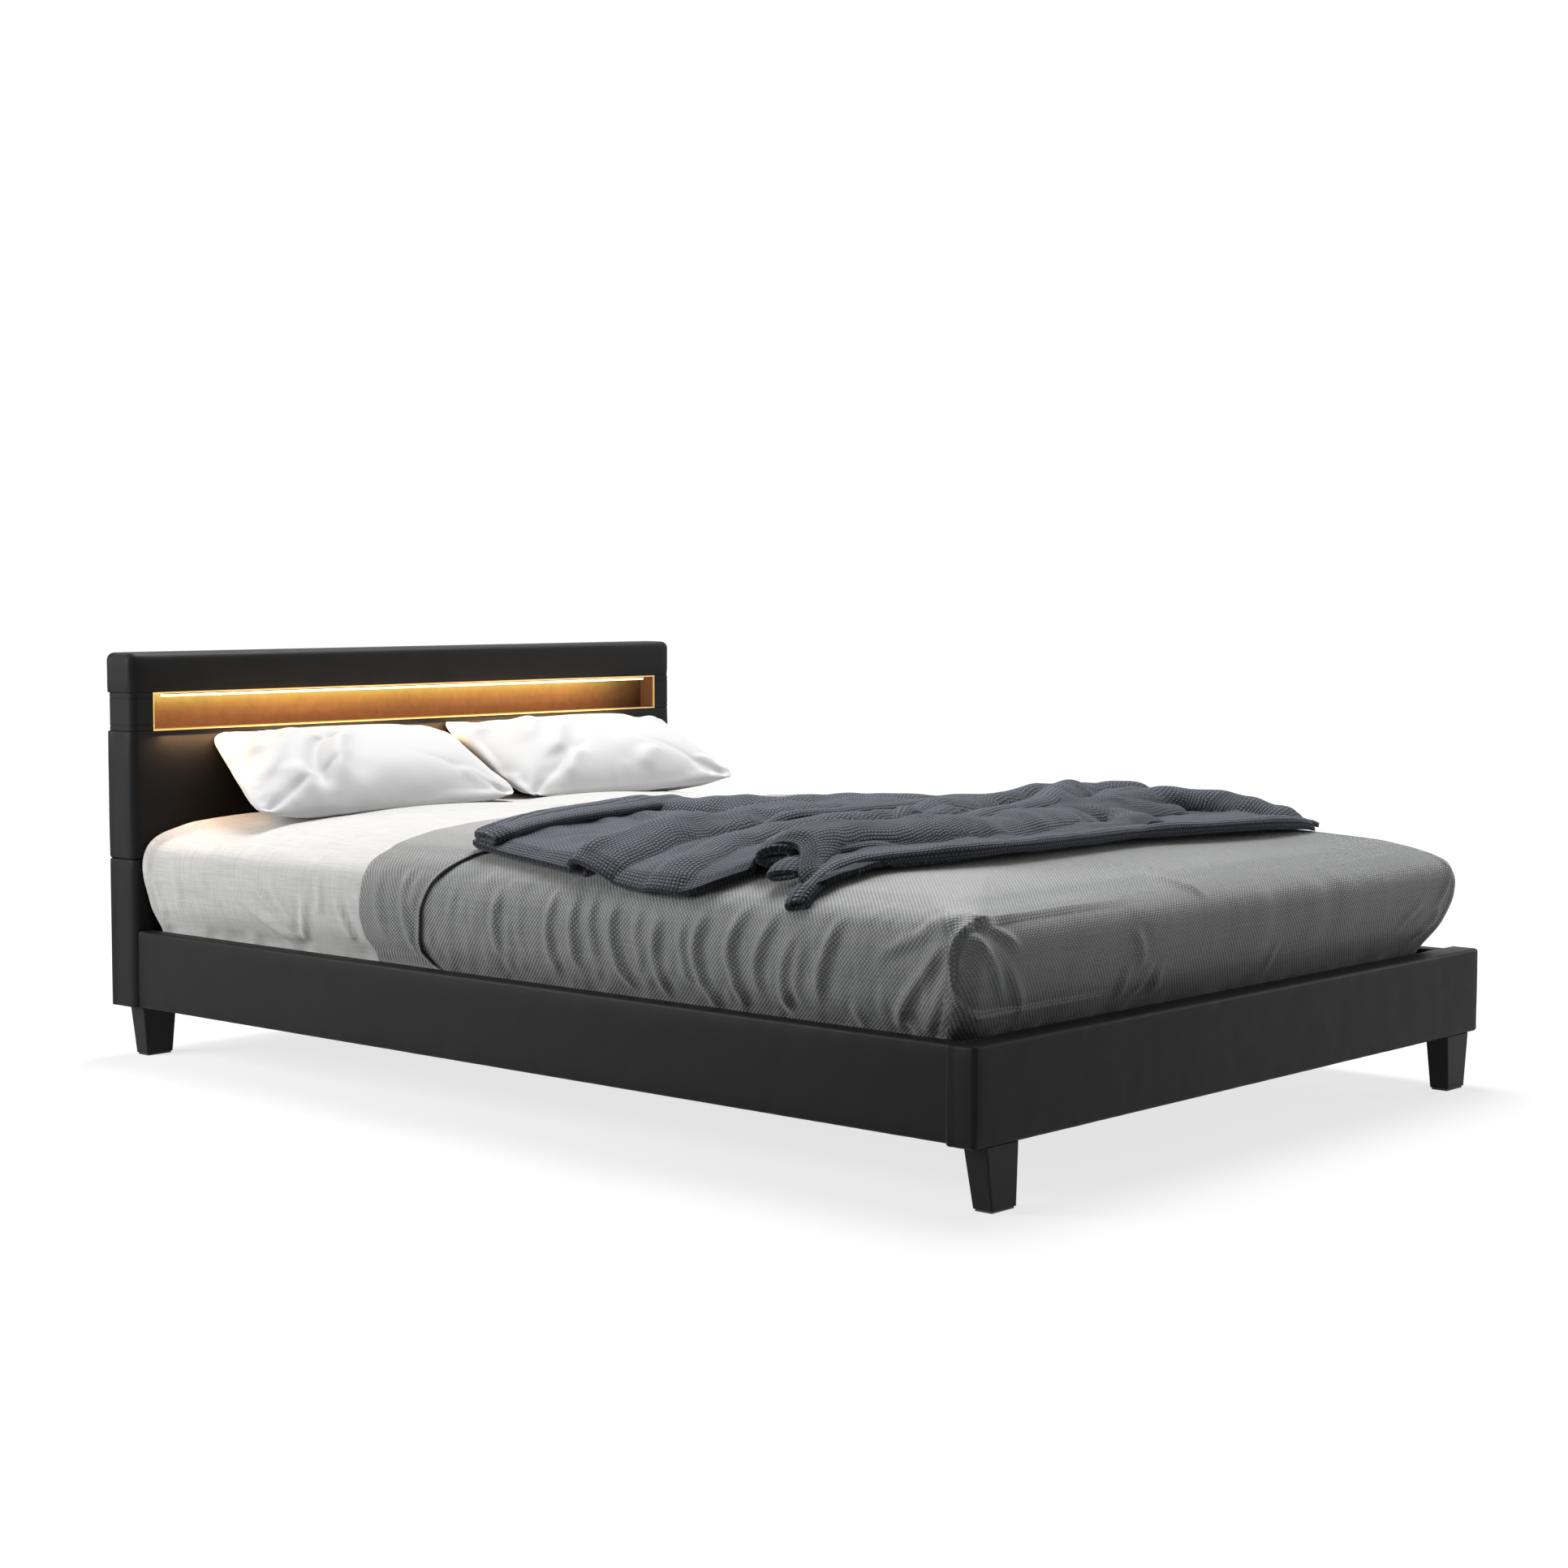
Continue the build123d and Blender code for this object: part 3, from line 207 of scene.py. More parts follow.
def near_line(a, b, points):
    """Distance to a polyline, share along it and side of it (1 on its left, -1 on its right)."""
    pts = np.array(points, float)[:, :2]
    seg = np.diff(pts, axis=0)
    length = np.linalg.norm(seg, axis=1)
    start = lengths_along(pts)
    best = np.full(np.shape(a), 1e9)
    along = np.zeros(np.shape(a))
    side = np.ones(np.shape(a))
    for k, (d, size) in enumerate(zip(seg, length)):
        d = d / size
        ra, rb = a - pts[k, 0], b - pts[k, 1]
        t = np.clip(ra * d[0] + rb * d[1], 0, size)
        dist = np.hypot(ra - t * d[0], rb - t * d[1])
        near = dist < best
        best = np.where(near, dist, best)
        along = np.where(near, start[k] + t, along)
        side = np.where(near, np.where(d[0] * rb - d[1] * ra >= 0, 1, -1), side)
    return best, along / start[-1], side


def smooth_line(points, count=24):
    """A finer polyline through given points, with its corners rounded off."""
    pts = np.array(points, float)
    for _ in range(3):
        cut = np.empty((2 * len(pts) - 2, pts.shape[1]))
        cut[0::2] = pts[:-1] * 0.75 + pts[1:] * 0.25
        cut[1::2] = pts[:-1] * 0.25 + pts[1:] * 0.75
        pts = np.vstack([pts[:1], cut, pts[-1:]])
    d = lengths_along(pts[:, :2])
    t = np.linspace(0, d[-1], count)
    return np.column_stack([np.interp(t, d, pts[:, k]) for k in range(pts.shape[1])])


def in_metres(*points):
    """Points given in millimetres."""
    return np.array(points) / 1000


def creases(*rows, unit=1000):
    """Rows of a height in millimetres, a lean and points counted in the unit."""
    return [(np.array(points) / unit, height / 1000, lean) for height, lean, *points in rows]


def folds(*rows):
    """Rows of two sizes and points, all in millimetres."""
    return [(in_metres(*points), first / 1000, second / 1000) for first, second, *points in rows]


def crease(a, b, points, height, width, ends, valley, lean):
    """A soft ridge along a line, with a hollow beside it; lean picks the hollow's side."""
    dist, share, side = near_line(a, b, smooth_line(points, 14))
    fade = smoothstep(0, ends[0], share) * smoothstep(0, ends[1], 1 - share)
    signed = dist * side
    ridge = bell(signed, width)
    for way in ((lean,) if lean else (-1, 1)):
        depth = valley if lean else valley / 2
        ridge = ridge - depth * bell(signed - way * 1.9 * width, 1.2 * width)
    return height * fade * ridge


# Materials
class Web:
    """Short calls for building a node tree."""

    def __init__(self, tree):
        self.tree = tree

    def put(self, socket, value):
        """Links another node's output, or sets a number, or a colour given as three numbers."""
        if isinstance(value, bpy.types.NodeSocket):
            self.tree.links.new(value, socket)
        else:
            socket.default_value = (*value, 1) if socket.type == "RGBA" else value

    def fill(self, node, **values):
        """Sets a node's inputs by their names, with _ for a blank."""
        for name, value in values.items():
            self.put(node.inputs[name.replace("_", " ")], value)
        return node

    def shade(self, **values):
        self.fill(self.tree.nodes["Principled BSDF"], **values)

    def new(self, kind, *values, **settings):
        """A node with its settings, and its first inputs in their order."""
        node = self.tree.nodes.new("ShaderNode" + kind)
        for name, value in settings.items():
            setattr(node, name, value)
        for socket, value in zip(node.inputs, values):
            self.put(socket, value)
        return node

    def math(self, op, *values):
        return self.new("Math", *values, operation=op).outputs[0]

    def add(self, *values):
        total = values[0]
        for v in values[1:]:
            total = self.math("ADD", total, v)
        return total

    def mul(self, a, b):
        return self.math("MULTIPLY", a, b)

    def wave(self, value, pitch):
        """Rounded bumps from 0 to 1, one per pitch."""
        return self.math("ABSOLUTE", self.math("SINE", self.mul(value, pi / pitch)))

    def coords(self, kind="Object"):
        return self.new("TexCoord").outputs[kind]

    def split(self, vector):
        return self.new("SeparateXYZ", vector).outputs

    def stretched(self, vector, *scales):
        return self.new("CombineXYZ", *map(self.mul, self.split(vector), scales)).outputs[0]

    def noise(self, vector, scale=1.0, detail=3.0, rough=0.5, distortion=0.0):
        n = self.fill(self.new("TexNoise"), Vector=vector, Scale=scale, Detail=detail, Roughness=rough,
                      Distortion=distortion)
        return n.outputs["Fac"]

    def thread(self, u, v, seed, detail=3.0, rough=0.6):
        """Noise over scaled UV places."""
        return self.noise(self.new("CombineXYZ", u, v, seed).outputs[0], 1.0, detail, rough)

    def cells(self, vector, scale):
        n = self.new("TexVoronoi", feature="DISTANCE_TO_EDGE")
        return self.fill(n, Vector=vector, Scale=scale).outputs["Distance"]

    def ramp(self, value, *stops):
        """Colours at places from 0 to 1; one number stands for a grey."""
        n = self.new("ValToRGB", value)
        elements = n.color_ramp.elements
        while len(elements) < len(stops):
            elements.new(0.5)
        for element, (place, *colour) in zip(elements, stops):
            element.position = place
            element.color = (*np.broadcast_to(colour, 3), 1)
        return n.outputs["Color"]

    def mix(self, share, a, b, blend="MIX"):
        n = self.new("Mix", share, data_type="RGBA", blend_type=blend)
        self.put(n.inputs[6], a)
        self.put(n.inputs[7], b)
        return n.outputs[2]

    def bump(self, height, strength, distance):
        return self.fill(self.new("Bump"), Strength=strength, Distance=distance, Height=height).outputs[0]


def new_material(name):
    mat = bpy.data.materials.new(name)
    mat.use_nodes = True
    return mat, Web(mat.node_tree)


def plain_material(name, colour, rough=0.6, metallic=0.0, scale=30.0, detail=3.0, vary=0.18, bump=0.1,
                   stretch=(1, 1, 1), shine=0.5):
    """Wood, metal, webbing or plastic with its own grain."""
    mat, web = new_material(name)
    grain = web.noise(web.stretched(web.coords(), *stretch), scale, detail, 0.6, 0.3)
    dark = tuple(c * (1 - vary) for c in colour)
    light = tuple(min(1, c * (1 + vary)) for c in colour)
    web.shade(Base_Color=web.mix(grain, dark, light), Roughness=web.add(web.mul(grain, 0.12), rough - 0.06),
              Normal=web.bump(grain, bump, 0.001), Metallic=metallic, Specular_IOR_Level=shine)
    return mat


def leather_material(name, seams=()):
    """Black grained leather; seams are the heights of lines sewn round it."""
    mat, web = new_material(name)
    place = web.coords()
    folds = web.noise(place, 24.0, 4.0, 0.55, 0.4)
    colour = web.mix(web.noise(place, 3.5, 2.0), (0.0088, 0.0086, 0.0087), (0.0125, 0.0122, 0.0123))
    for level in seams:
        past = web.math("ABSOLUTE", web.add(web.split(place)[2], -level))
        colour = web.mix(web.math("LESS_THAN", past, SEAM_LINE), colour, (0.002, 0.002, 0.002))
    pebbles = web.add(web.mul(web.cells(place, 520.0), 1.2), web.mul(web.noise(place, 1300.0, 2.0), 0.12))
    relief = web.fill(web.new("Bump"), Strength=0.06, Distance=0.004, Height=folds,
                      Normal=web.bump(pebbles, 0.14, 0.0006))
    web.shade(Base_Color=colour, Roughness=web.add(web.mul(folds, 0.12), 0.42), Specular_IOR_Level=0.11,
              Normal=relief.outputs[0])
    return mat


def linen_material(name):
    mat, web = new_material(name)
    u, v, _ = web.split(web.coords("UV"))

    def threads(along, across, seed):
        a = web.thread(web.mul(u, across), web.mul(v, along), seed)
        b = web.thread(web.mul(u, along), web.mul(v, across), seed + 5)
        return web.mul(web.add(a, b), 0.5)

    fine = threads(22.0, 900.0, 1.0)
    slubs = threads(9.0, 240.0, 3.0)
    weave = web.add(web.mul(fine, 0.45), web.mul(slubs, 0.55))
    colour = web.ramp(weave, (0.38, 0.42, 0.418, 0.410), (0.50, 0.520, 0.518, 0.510),
                      (0.62, 0.60, 0.597, 0.59))
    web.shade(Base_Color=colour, Normal=web.bump(weave, 0.4, 0.0012), Roughness=0.92, Specular_IOR_Level=0.2,
              Sheen_Weight=0.1)
    return mat


def half_on(web, place, pitch, row_pitch):
    """Shift of every second row by half a pitch."""
    row = web.math("FLOOR", web.mul(place, 1 / row_pitch))
    return web.mul(web.math("PINGPONG", row, 1.0), pitch / 2)


def basket_material(name):
    """Basket weave: rows of light beads over dark gaps, each row half a bead on; the gaps' darkness is
    painted shade.
    """
    pitch = 0.0074
    mat, web = new_material(name)
    u, v, _ = web.split(web.coords("UV"))
    along = web.math("SINE", web.mul(web.add(u, half_on(web, v, pitch, pitch / 2)), 2 * pi / pitch))
    across = web.wave(v, pitch / 2)
    bead = web.mul(web.add(web.mul(along, 0.5), 0.5), web.add(web.mul(across, 0.85), 0.15))
    yarn = web.thread(web.mul(u, 7.0), web.mul(v, 170.0), 0.0)
    warp = web.thread(web.mul(u, 170.0), web.mul(v, 7.0), 3.0)
    fibre = web.thread(web.mul(u, 1400.0), web.mul(v, 160.0), 7.0, 2.0, 0.5)
    weave = web.add(web.mul(bead, 0.62), web.mul(web.add(yarn, warp, fibre), 0.22))
    # Colour follows the relief: painted shade in the gaps between the beads, over the yarn's own varied
    # tone.
    colour = web.ramp(weave, (0.22, 0.021, 0.023, 0.024), (0.50, 0.118, 0.121, 0.123),
                      (0.88, 0.35, 0.355, 0.352))
    web.shade(Base_Color=colour, Normal=web.bump(weave, 0.65, 0.0015), Roughness=0.58,
              Specular_IOR_Level=0.55, Sheen_Weight=0.8, Sheen_Roughness=0.35)
    return mat


def knit_material(name):
    """Garter knit: rows of rounded stitches, offset from row to row, and ribs along the border."""
    pitch = 0.0066
    border = 0.034
    mat, web = new_material(name)
    place = web.coords("UV")
    u, v, _ = web.split(place)
    wander = web.add(v, web.mul(web.noise(place, 40.0, 2.0), 0.0015))
    along = web.wave(web.add(u, half_on(web, wander, pitch, pitch)), pitch)
    stitch = web.mul(web.math("POWER", web.wave(wander, pitch), 0.7), web.add(web.mul(along, 0.7), 0.3))
    fuzz = web.noise(place, 900.0, 3.0, 0.7)
    ribs = web.add(web.wave(u, pitch), -1.0)
    dip = web.mul(web.math("LESS_THAN", u, border), web.mul(ribs, 0.70))
    level = web.add(web.mul(stitch, 0.8), web.mul(fuzz, 0.3), dip)
    # Colour follows the relief: painted shade between the stitches and in the border's ribs, over the yarn's
    # own fuzzy tone.
    colour = web.ramp(level, (0.15, 0.013, 0.014, 0.017), (0.55, 0.076, 0.081, 0.095),
                      (1.0, 0.175, 0.186, 0.215))
    web.shade(Base_Color=colour, Normal=web.bump(level, 0.9, 0.003), Roughness=0.95, Specular_IOR_Level=0.15,
              Sheen_Weight=0.3, Sheen_Roughness=0.45, Sheen_Tint=(0.70, 0.75, 0.86))
    return mat


def sateen_material(name):
    mat, web = new_material(name)
    place = web.coords()
    threads = web.noise(web.stretched(place, 1800.0, 300.0, 300.0), 1.0, 2.0)
    broad = web.noise(place, 9.0)
    relief = web.add(web.mul(threads, 0.3), broad)
    web.shade(Base_Color=web.mix(broad, (0.54, 0.54, 0.545), (0.60, 0.60, 0.60)),
              Roughness=web.add(web.mul(threads, 0.16), 0.52), Normal=web.bump(relief, 0.06, 0.001),
              Specular_IOR_Level=0.3, Sheen_Weight=0.1)
    return mat


def across_niche(web, place):
    """Share of the way across the niche, from its left end to its right one."""
    return web.add(web.mul(web.split(place)[0], 1 / (2 * NICHE_HALF)), 0.5)


def bronze_material(name):
    """Metal of the niche's edge, with a painted warm glow where the line of light reaches it."""
    mat, web = new_material(name)
    place = web.coords()
    brushed = web.noise(web.stretched(place, 3.0, 500.0, 500.0), 1.0, 2.0)
    # Painted glow: an emission that stands in for the line of light on the metal, fading towards the right
    # end.
    painted_edge_glow = web.ramp(across_niche(web, place), (0.0, 1.0, 0.66, 0.17), (0.80, 0.95, 0.60, 0.15),
                      (0.97, 0.45, 0.24, 0.07))
    web.shade(Base_Color=web.mix(brushed, (0.42, 0.27, 0.11), (0.62, 0.42, 0.18)), Metallic=0.7,
              Roughness=web.add(web.mul(brushed, 0.12), 0.28), Emission_Color=painted_edge_glow, Emission_Strength=0.8)
    return mat


def suede_material(name):
    """Brown suede with a painted glow of the line of light: yellow under it, brown lower, dark at the right
    end.
    """
    mat, web = new_material(name)
    place = web.coords()
    mottle = web.noise(place, 38.0, 5.0, 0.62, 0.5)
    nap = web.add(mottle, web.mul(web.noise(place, 700.0), 0.3))
    # Painted light: an emission that stands in for the line of light's glow, by height and across the niche,
    # with painted shade at the right end.
    up = web.mul(web.add(web.split(place)[2], -NICHE_BOTTOM), 1 / (NICHE_TOP - NICHE_BOTTOM))
    painted_light_wash = web.ramp(up, (0.0, 0.30, 0.085, 0.026), (0.25, 0.34, 0.104, 0.030), (0.48, 0.42, 0.150, 0.034),
                    (0.66, 0.62, 0.300, 0.050), (0.80, 0.82, 0.540, 0.105), (0.92, 0.95, 0.76, 0.26))
    ends = web.ramp(across_niche(web, place), (0.0, 0.72), (0.03, 1), (0.82, 0.96), (0.90, 0.55),
                    (0.955, 0.13), (1.0, 0.02))
    glow_mottle = web.ramp(mottle, (0.30, 0.88), (0.70, 1.0))
    painted_panel_glow = web.mix(1.0, web.mix(1.0, painted_light_wash, ends, "MULTIPLY"), glow_mottle, "MULTIPLY")
    web.shade(Base_Color=web.ramp(mottle, (0.3, 0.060, 0.032, 0.013), (0.7, 0.100, 0.056, 0.023)),
              Normal=web.bump(nap, 0.2, 0.001), Emission_Color=painted_panel_glow, Emission_Strength=0.82, Roughness=0.9)
    return mat


def lining_material(name):
    """Brown lining of the niche, with a painted soft glow of the line of light."""
    mat, web = new_material(name)
    place = web.coords()
    # shine here is a painted glow: an emission that stands in for the line of light, darker at the right
    # end.
    shine = web.ramp(across_niche(web, place), (0.0, 0.60, 0.30, 0.06), (0.85, 0.50, 0.24, 0.05),
                     (0.97, 0.120, 0.044, 0.018))
    web.shade(Base_Color=web.mix(web.noise(place, 600.0), (0.045, 0.022, 0.010), (0.065, 0.034, 0.015)),
              Emission_Color=shine, Emission_Strength=0.8, Roughness=0.6)
    return mat


def glow_material(name):
    """Diffuser of the line of light, a little redder at its ends."""
    mat, web = new_material(name)
    colour = web.ramp(across_niche(web, web.coords()), (0.02, 1.0, 0.70, 0.30), (0.08, 1.0, 0.82, 0.50),
                      (0.85, 1.0, 0.80, 0.46), (0.98, 1.0, 0.60, 0.22))
    web.shade(Emission_Color=colour, Base_Color=(1.0, 0.86, 0.60), Emission_Strength=4.0)
    return mat


wood = {"scale": 9.0, "detail": 5.0}
M["leather"] = leather_material("black_leather")
M["linen"] = linen_material("slub_linen")
M["basket"] = basket_material("basket_weave")
M["knit"] = knit_material("garter_knit")
M["sateen"] = sateen_material("white_sateen")
M["ticking"] = plain_material("quilted_ticking", (0.82, 0.82, 0.80), 0.9, scale=300.0, bump=0.2)


def dress(material, *names):
    for n in names:
        nodes[n].data.materials.clear()
        nodes[n].data.materials.append(material)


dress(leather_material("sewn_leather", seams=(0.650, 0.700)), "niche_end_covers")
dress(bronze_material("bronze_edge"), "niche_lip")
dress(suede_material("brown_suede"), "niche_back_panel")
dress(lining_material("brown_lining"), "niche_lining")
dress(glow_material("line_of_light"), "led_diffuser")
dress(plain_material("pine_timber", (0.58, 0.42, 0.26), 0.65, stretch=(1.2, 9, 9), **wood),
      "headboard_lower_frame", "headboard_upper_frame", "headboard_top_rail", "niche_end_blocks",
      "niche_back_board", "side_rail_left_board", "side_rail_right_board", "foot_rail_board",
      "slat_ledger_left", "slat_ledger_right", "centre_beam")
dress(plain_material("birch_slat", (0.70, 0.56, 0.38), 0.5, stretch=(1, 12, 12), **wood), "slats")
dress(plain_material("front_panel_board", (0.55, 0.42, 0.28), 0.7, stretch=(1, 6, 6), **wood),
      "headboard_front_panels")
dress(plain_material("black_lacquered_wood", (0.013, 0.0128, 0.0128), 0.48, stretch=(8, 8, 1), vary=0.25,
                     shine=0.15, **wood),
      "leg_front_left", "leg_front_right", "leg_rear_left", "leg_rear_right", "centre_legs")
dress(plain_material("black_steel", (0.03, 0.03, 0.032), 0.45, scale=500.0, bump=0.05),
      "joining_plates", "corner_brackets", "beam_hangers")
dress(plain_material("zinc_steel", (0.60, 0.60, 0.62), 0.35, 1.0, scale=240.0, bump=0.04),
      "joining_screws", "bracket_bolts", "ledger_screws", "hanger_screws", "leg_bolts")
dress(plain_material("light_channel", (0.30, 0.24, 0.16), 0.4, 0.8, scale=90.0, bump=0.04), "led_channel")
dress(plain_material("light_tape", (0.86, 0.82, 0.70), 0.6, scale=80.0), "led_strip")
dress(plain_material("black_plastic", (0.03, 0.03, 0.03), 0.5, scale=300.0, bump=0.08),
      "led_cable", "power_inlet", "leg_glides")
dress(plain_material("cotton_webbing", (0.72, 0.70, 0.66), 0.9, scale=900.0, bump=0.3), "slat_straps")
dress(plain_material("black_back_cloth", (0.02, 0.02, 0.02), 0.95, scale=1200.0, bump=0.3),
      "headboard_back_cloth")


# Rounded rectangles, the base of the upholstery and of the bedding
def ring_points(x0, x1, y0, y1, radius, shares, arc=8):
    """One rounded rectangle per entry, from the head-left corner down the left side and round.
    shares holds the steps along the left, foot, right and head sides; with no head steps it stays open.
    Gives points and outward normals."""
    x0, x1, y0, y1, radius = (np.atleast_1d(np.asarray(v, float))[:, None] for v in (x0, x1, y0, y1, radius))
    left, foot, right, head = (np.asarray(s, float)[None, :] for s in shares)
    places, normals = [], []

    def side(ax, ay, bx, by, t, nx, ny):
        places.append(np.stack([ax + (bx - ax) * t, ay + (by - ay) * t], -1))
        normals.append(np.broadcast_to(np.array([nx, ny], float), places[-1].shape))

    def corner(cx, cy, start):
        turn = radians(start) + np.linspace(0, pi / 2, arc + 1)[None, :]
        n = np.stack([np.cos(turn), np.sin(turn)], -1)
        places.append(np.stack([cx, cy], -1) + radius[..., None] * n)
        normals.append(np.broadcast_to(n, places[-1].shape))

    top = radius if head.size else 0 * radius
    side(x0, y1 - top, x0, y0 + radius, left, -1, 0)
    corner(x0 + radius, y0 + radius, 180)
    side(x0 + radius, y0, x1 - radius, y0, foot, 0, -1)
    corner(x1 - radius, y0 + radius, 270)
    side(x1, y0 + radius, x1, y1 - top, right, 1, 0)
    if head.size:
        corner(x1 - radius, y1 - radius, 0)
        side(x1 - radius, y1, x0 + radius, y1, head, 0, 1)
        corner(x0 + radius, y1 - radius, 90)
    return np.concatenate(places, 1), np.concatenate(normals, 1)


def even(count):
    return np.arange(1, count) / count


def with_height(points, z):
    return np.concatenate([points, np.broadcast_to(z[:, None, None], points.shape[:2] + (1,))], -1)


# Leather upholstery
def upholstered(name, low, high, corner, bottom_rim, top_rim, crown, seed):
    """A padded block in leather: rounded upright edges, soft rims, crowned faces and faint puckers."""
    step = 0.014
    low, high = np.array(low, float), np.array(high, float)
    turn = np.linspace(0, pi / 2, 5)
    bottom = [(bottom_rim * (1 - sin(a)), low[2] + bottom_rim * (1 - cos(a))) for a in turn]
    top = [(top_rim * (1 - cos(a)), high[2] - top_rim * (1 - sin(a))) for a in turn]
    levels = np.linspace(bottom[-1][1], top[0][1], max(3, int((high[2] - low[2]) / step)) + 1)
    wall = np.array(bottom + [(0.0, z) for z in levels[1:-1]] + top)
    half = min(high[0] - low[0], high[1] - low[1]) / 2
    cap_share = np.linspace(0, 0.98, 6)[1:]
    below = np.array([(bottom_rim + (half - bottom_rim) * c, low[2]) for c in cap_share[::-1]])
    above = np.array([(top_rim + (half - top_rim) * c, high[2]) for c in cap_share])
    inset, z = np.vstack([below, wall, above]).T
    radius = np.maximum(np.minimum(corner, half) - inset * 0.9, 0.0006)
    shares = [even(max(3, int(s / step))) for s in (high - low)[[1, 0, 1, 0]]]
    sides = low[0] + inset, high[0] - inset, low[1] + inset, high[1] - inset
    points, normals = ring_points(*sides, radius, shares, 6)
    full = with_height(points, z)
    share = np.abs(full - (low + high) / 2) / ((high - low) / 2)
    on_wall = np.zeros((len(inset), 1))
    on_wall[len(below):len(below) + len(wall)] = 1
    faces_x = smoothstep(0.9, 1.0, share[..., 0]) * (1 - share[..., 1] ** 6)
    faces_y = smoothstep(0.9, 1.0, share[..., 1]) * (1 - share[..., 0] ** 30)
    out = crown * (1 - smoothstep(0.55, 1.0, share[..., 2])) * np.maximum(faces_x, faces_y)
    out = out + noise(full * (1, 1, 0.7), 16, seed) * 0.0007
    out = out + noise(full * (1, 1, 0.5), 55, seed + 1) * 0.0003
    edge = bell(np.minimum(full[..., 2] - low[2], high[2] - full[..., 2]), 0.018)
    out = out + edge * noise(full * (1, 1, 0.3), 95, seed + 2) * 0.0006
    back_corner = np.clip(2 * np.abs(normals[..., 0]) * normals[..., 1], 0, 1)
    out = out * (1 - smoothstep(0.3, 0.9, normals[..., 1])) + min(0.0045, 0.3 * corner) * back_corner
    full[..., :2] += normals * (out * on_wall)[..., None]
    rise = np.concatenate([np.zeros(len(below) + len(wall)), 1 - (1 - cap_share) ** 2])
    full[..., 2] += crown * 0.6 * rise[:, None]
    return close_holes(grid_object(name, full, wrap=True))


# Each block: name, low and high corner, corner radius, bottom rim, top rim and crown
HEAD_BACK = SHELL_BACK + BACK_PROUD
upholstery = (
    ("headboard_lower", (-HEAD_HALF, HEAD_FRONT, RAIL_BOTTOM), (HEAD_HALF, HEAD_BACK, SEAM),
     0.016, 0.0025, 0.005, 0.0),
    ("headboard_upper", (-HEAD_HALF, HEAD_FRONT, SEAM), (HEAD_HALF, HEAD_BACK, NICHE_BOTTOM),
     0.016, 0.005, 0.002, 0.0015),
    ("headboard_top", (-HEAD_HALF, HEAD_FRONT, NICHE_TOP), (HEAD_HALF, HEAD_BACK, HEAD_TOP),
     0.016, 0.002, 0.014, 0.0015),
    ("side_rail_left", (-RAIL_OUTER, FOOT_RAIL_BACK, RAIL_BOTTOM), (-RAIL_INNER, HEAD_FRONT, SIDE_RAIL_TOP),
     0.003, 0.006, 0.006, 0.0012),
    ("side_rail_right", (RAIL_INNER, FOOT_RAIL_BACK, RAIL_BOTTOM), (RAIL_OUTER, HEAD_FRONT, SIDE_RAIL_TOP),
     0.003, 0.006, 0.006, 0.0012),
    ("foot_rail", (-FOOT_HALF, FOOT, RAIL_BOTTOM), (FOOT_HALF, FOOT_RAIL_BACK, FOOT_RAIL_TOP),
     0.008, 0.006, 0.006, 0.0012),
)
for seed, (stem, *block) in enumerate(upholstery, 1):
    piece = upholstered(stem + "_leather", *block, seed)
    finish_piece(piece, "leather", "frame", "black_leather", stem + "_cover", stem + "_foam")

# Outline of the made bed's side: height, swelling and drawing in, as shares of the sizes below
side_shape_share = (
    (0.000, 0.0, 0.090), (0.183, 0.0, 0.056), (0.350, 0.3, 0.000), (0.537, 0.9, 0.000), (0.668, 1.0, 0.000),
    (0.754, 0.7, 0.000), (0.817, 0.0, 0.014), (0.892, 0.0, 0.155), (0.948, 0.0, 0.380), (0.981, 0.0, 0.662),
    (1.000, 0.0, 1.000),
)
SIDE_SWELL = 0.022
FOOT_SWELL = 0.032
HEAD_SWELL = 0.005
SIDE_CROWN = 0.355
HEAD_CROWN = 0.120
PLATEAU = BED_HALF - SIDE_CROWN
WALL_ARC = 0.29
ROUNDING = 15


def outline(swell, crown):
    """Smooth line of stand-out and height, from the bottom to the top of the crown."""
    shape = np.array(side_shape_share)
    line = np.column_stack([swell * shape[:, 1] - crown * shape[:, 2], BED_HEIGHT * shape[:, 0]])
    length = lengths_along(line)
    t = np.linspace(0, length[-1], 400)
    line = np.column_stack([np.interp(t, length, line[:, k]) for k in (0, 1)])
    weight = np.hanning(2 * ROUNDING + 1)
    padded = np.vstack([np.repeat(line[:1], ROUNDING, 0), line, np.repeat(line[-1:], ROUNDING, 0)])
    return np.column_stack([np.convolve(padded[:, k], weight / weight.sum(), "valid") for k in (0, 1)])


side_line = outline(SIDE_SWELL, SIDE_CROWN)
foot_line = outline(FOOT_SWELL, SIDE_CROWN)
head_line = outline(HEAD_SWELL, HEAD_CROWN)
side_arc = lengths_along(side_line)
side_way = np.gradient(side_line, axis=0)
side_way /= np.linalg.norm(side_way, axis=1, keepdims=True)
FULL_ARC = side_arc[-1]


def profile_at(arc, grow):
    """Stand-outs, height and normal of the made bed's side at arc lengths from its bottom."""
    z = np.interp(arc, side_arc, side_line[:, 1])
    nx = np.interp(arc, side_arc, side_way[:, 1])
    nz = np.interp(arc, side_arc, -side_way[:, 0])
    return {
        "side": np.interp(arc, side_arc, side_line[:, 0]) + grow * nx,
        "foot": np.interp(z, foot_line[:, 1], foot_line[:, 0]) + grow * nx,
        "head": np.interp(z, head_line[:, 1], head_line[:, 0]) + grow * nx,
        "z": BED_BOTTOM + z + grow * nz, "nx": nx, "nz": nz,
    }


def bed_rows(wall_step, top_step, start=0.0):
    wall = np.arange(start, WALL_ARC, wall_step)
    crown = np.arange(WALL_ARC, FULL_ARC, top_step)
    return np.concatenate([wall, crown, [FULL_ARC]])


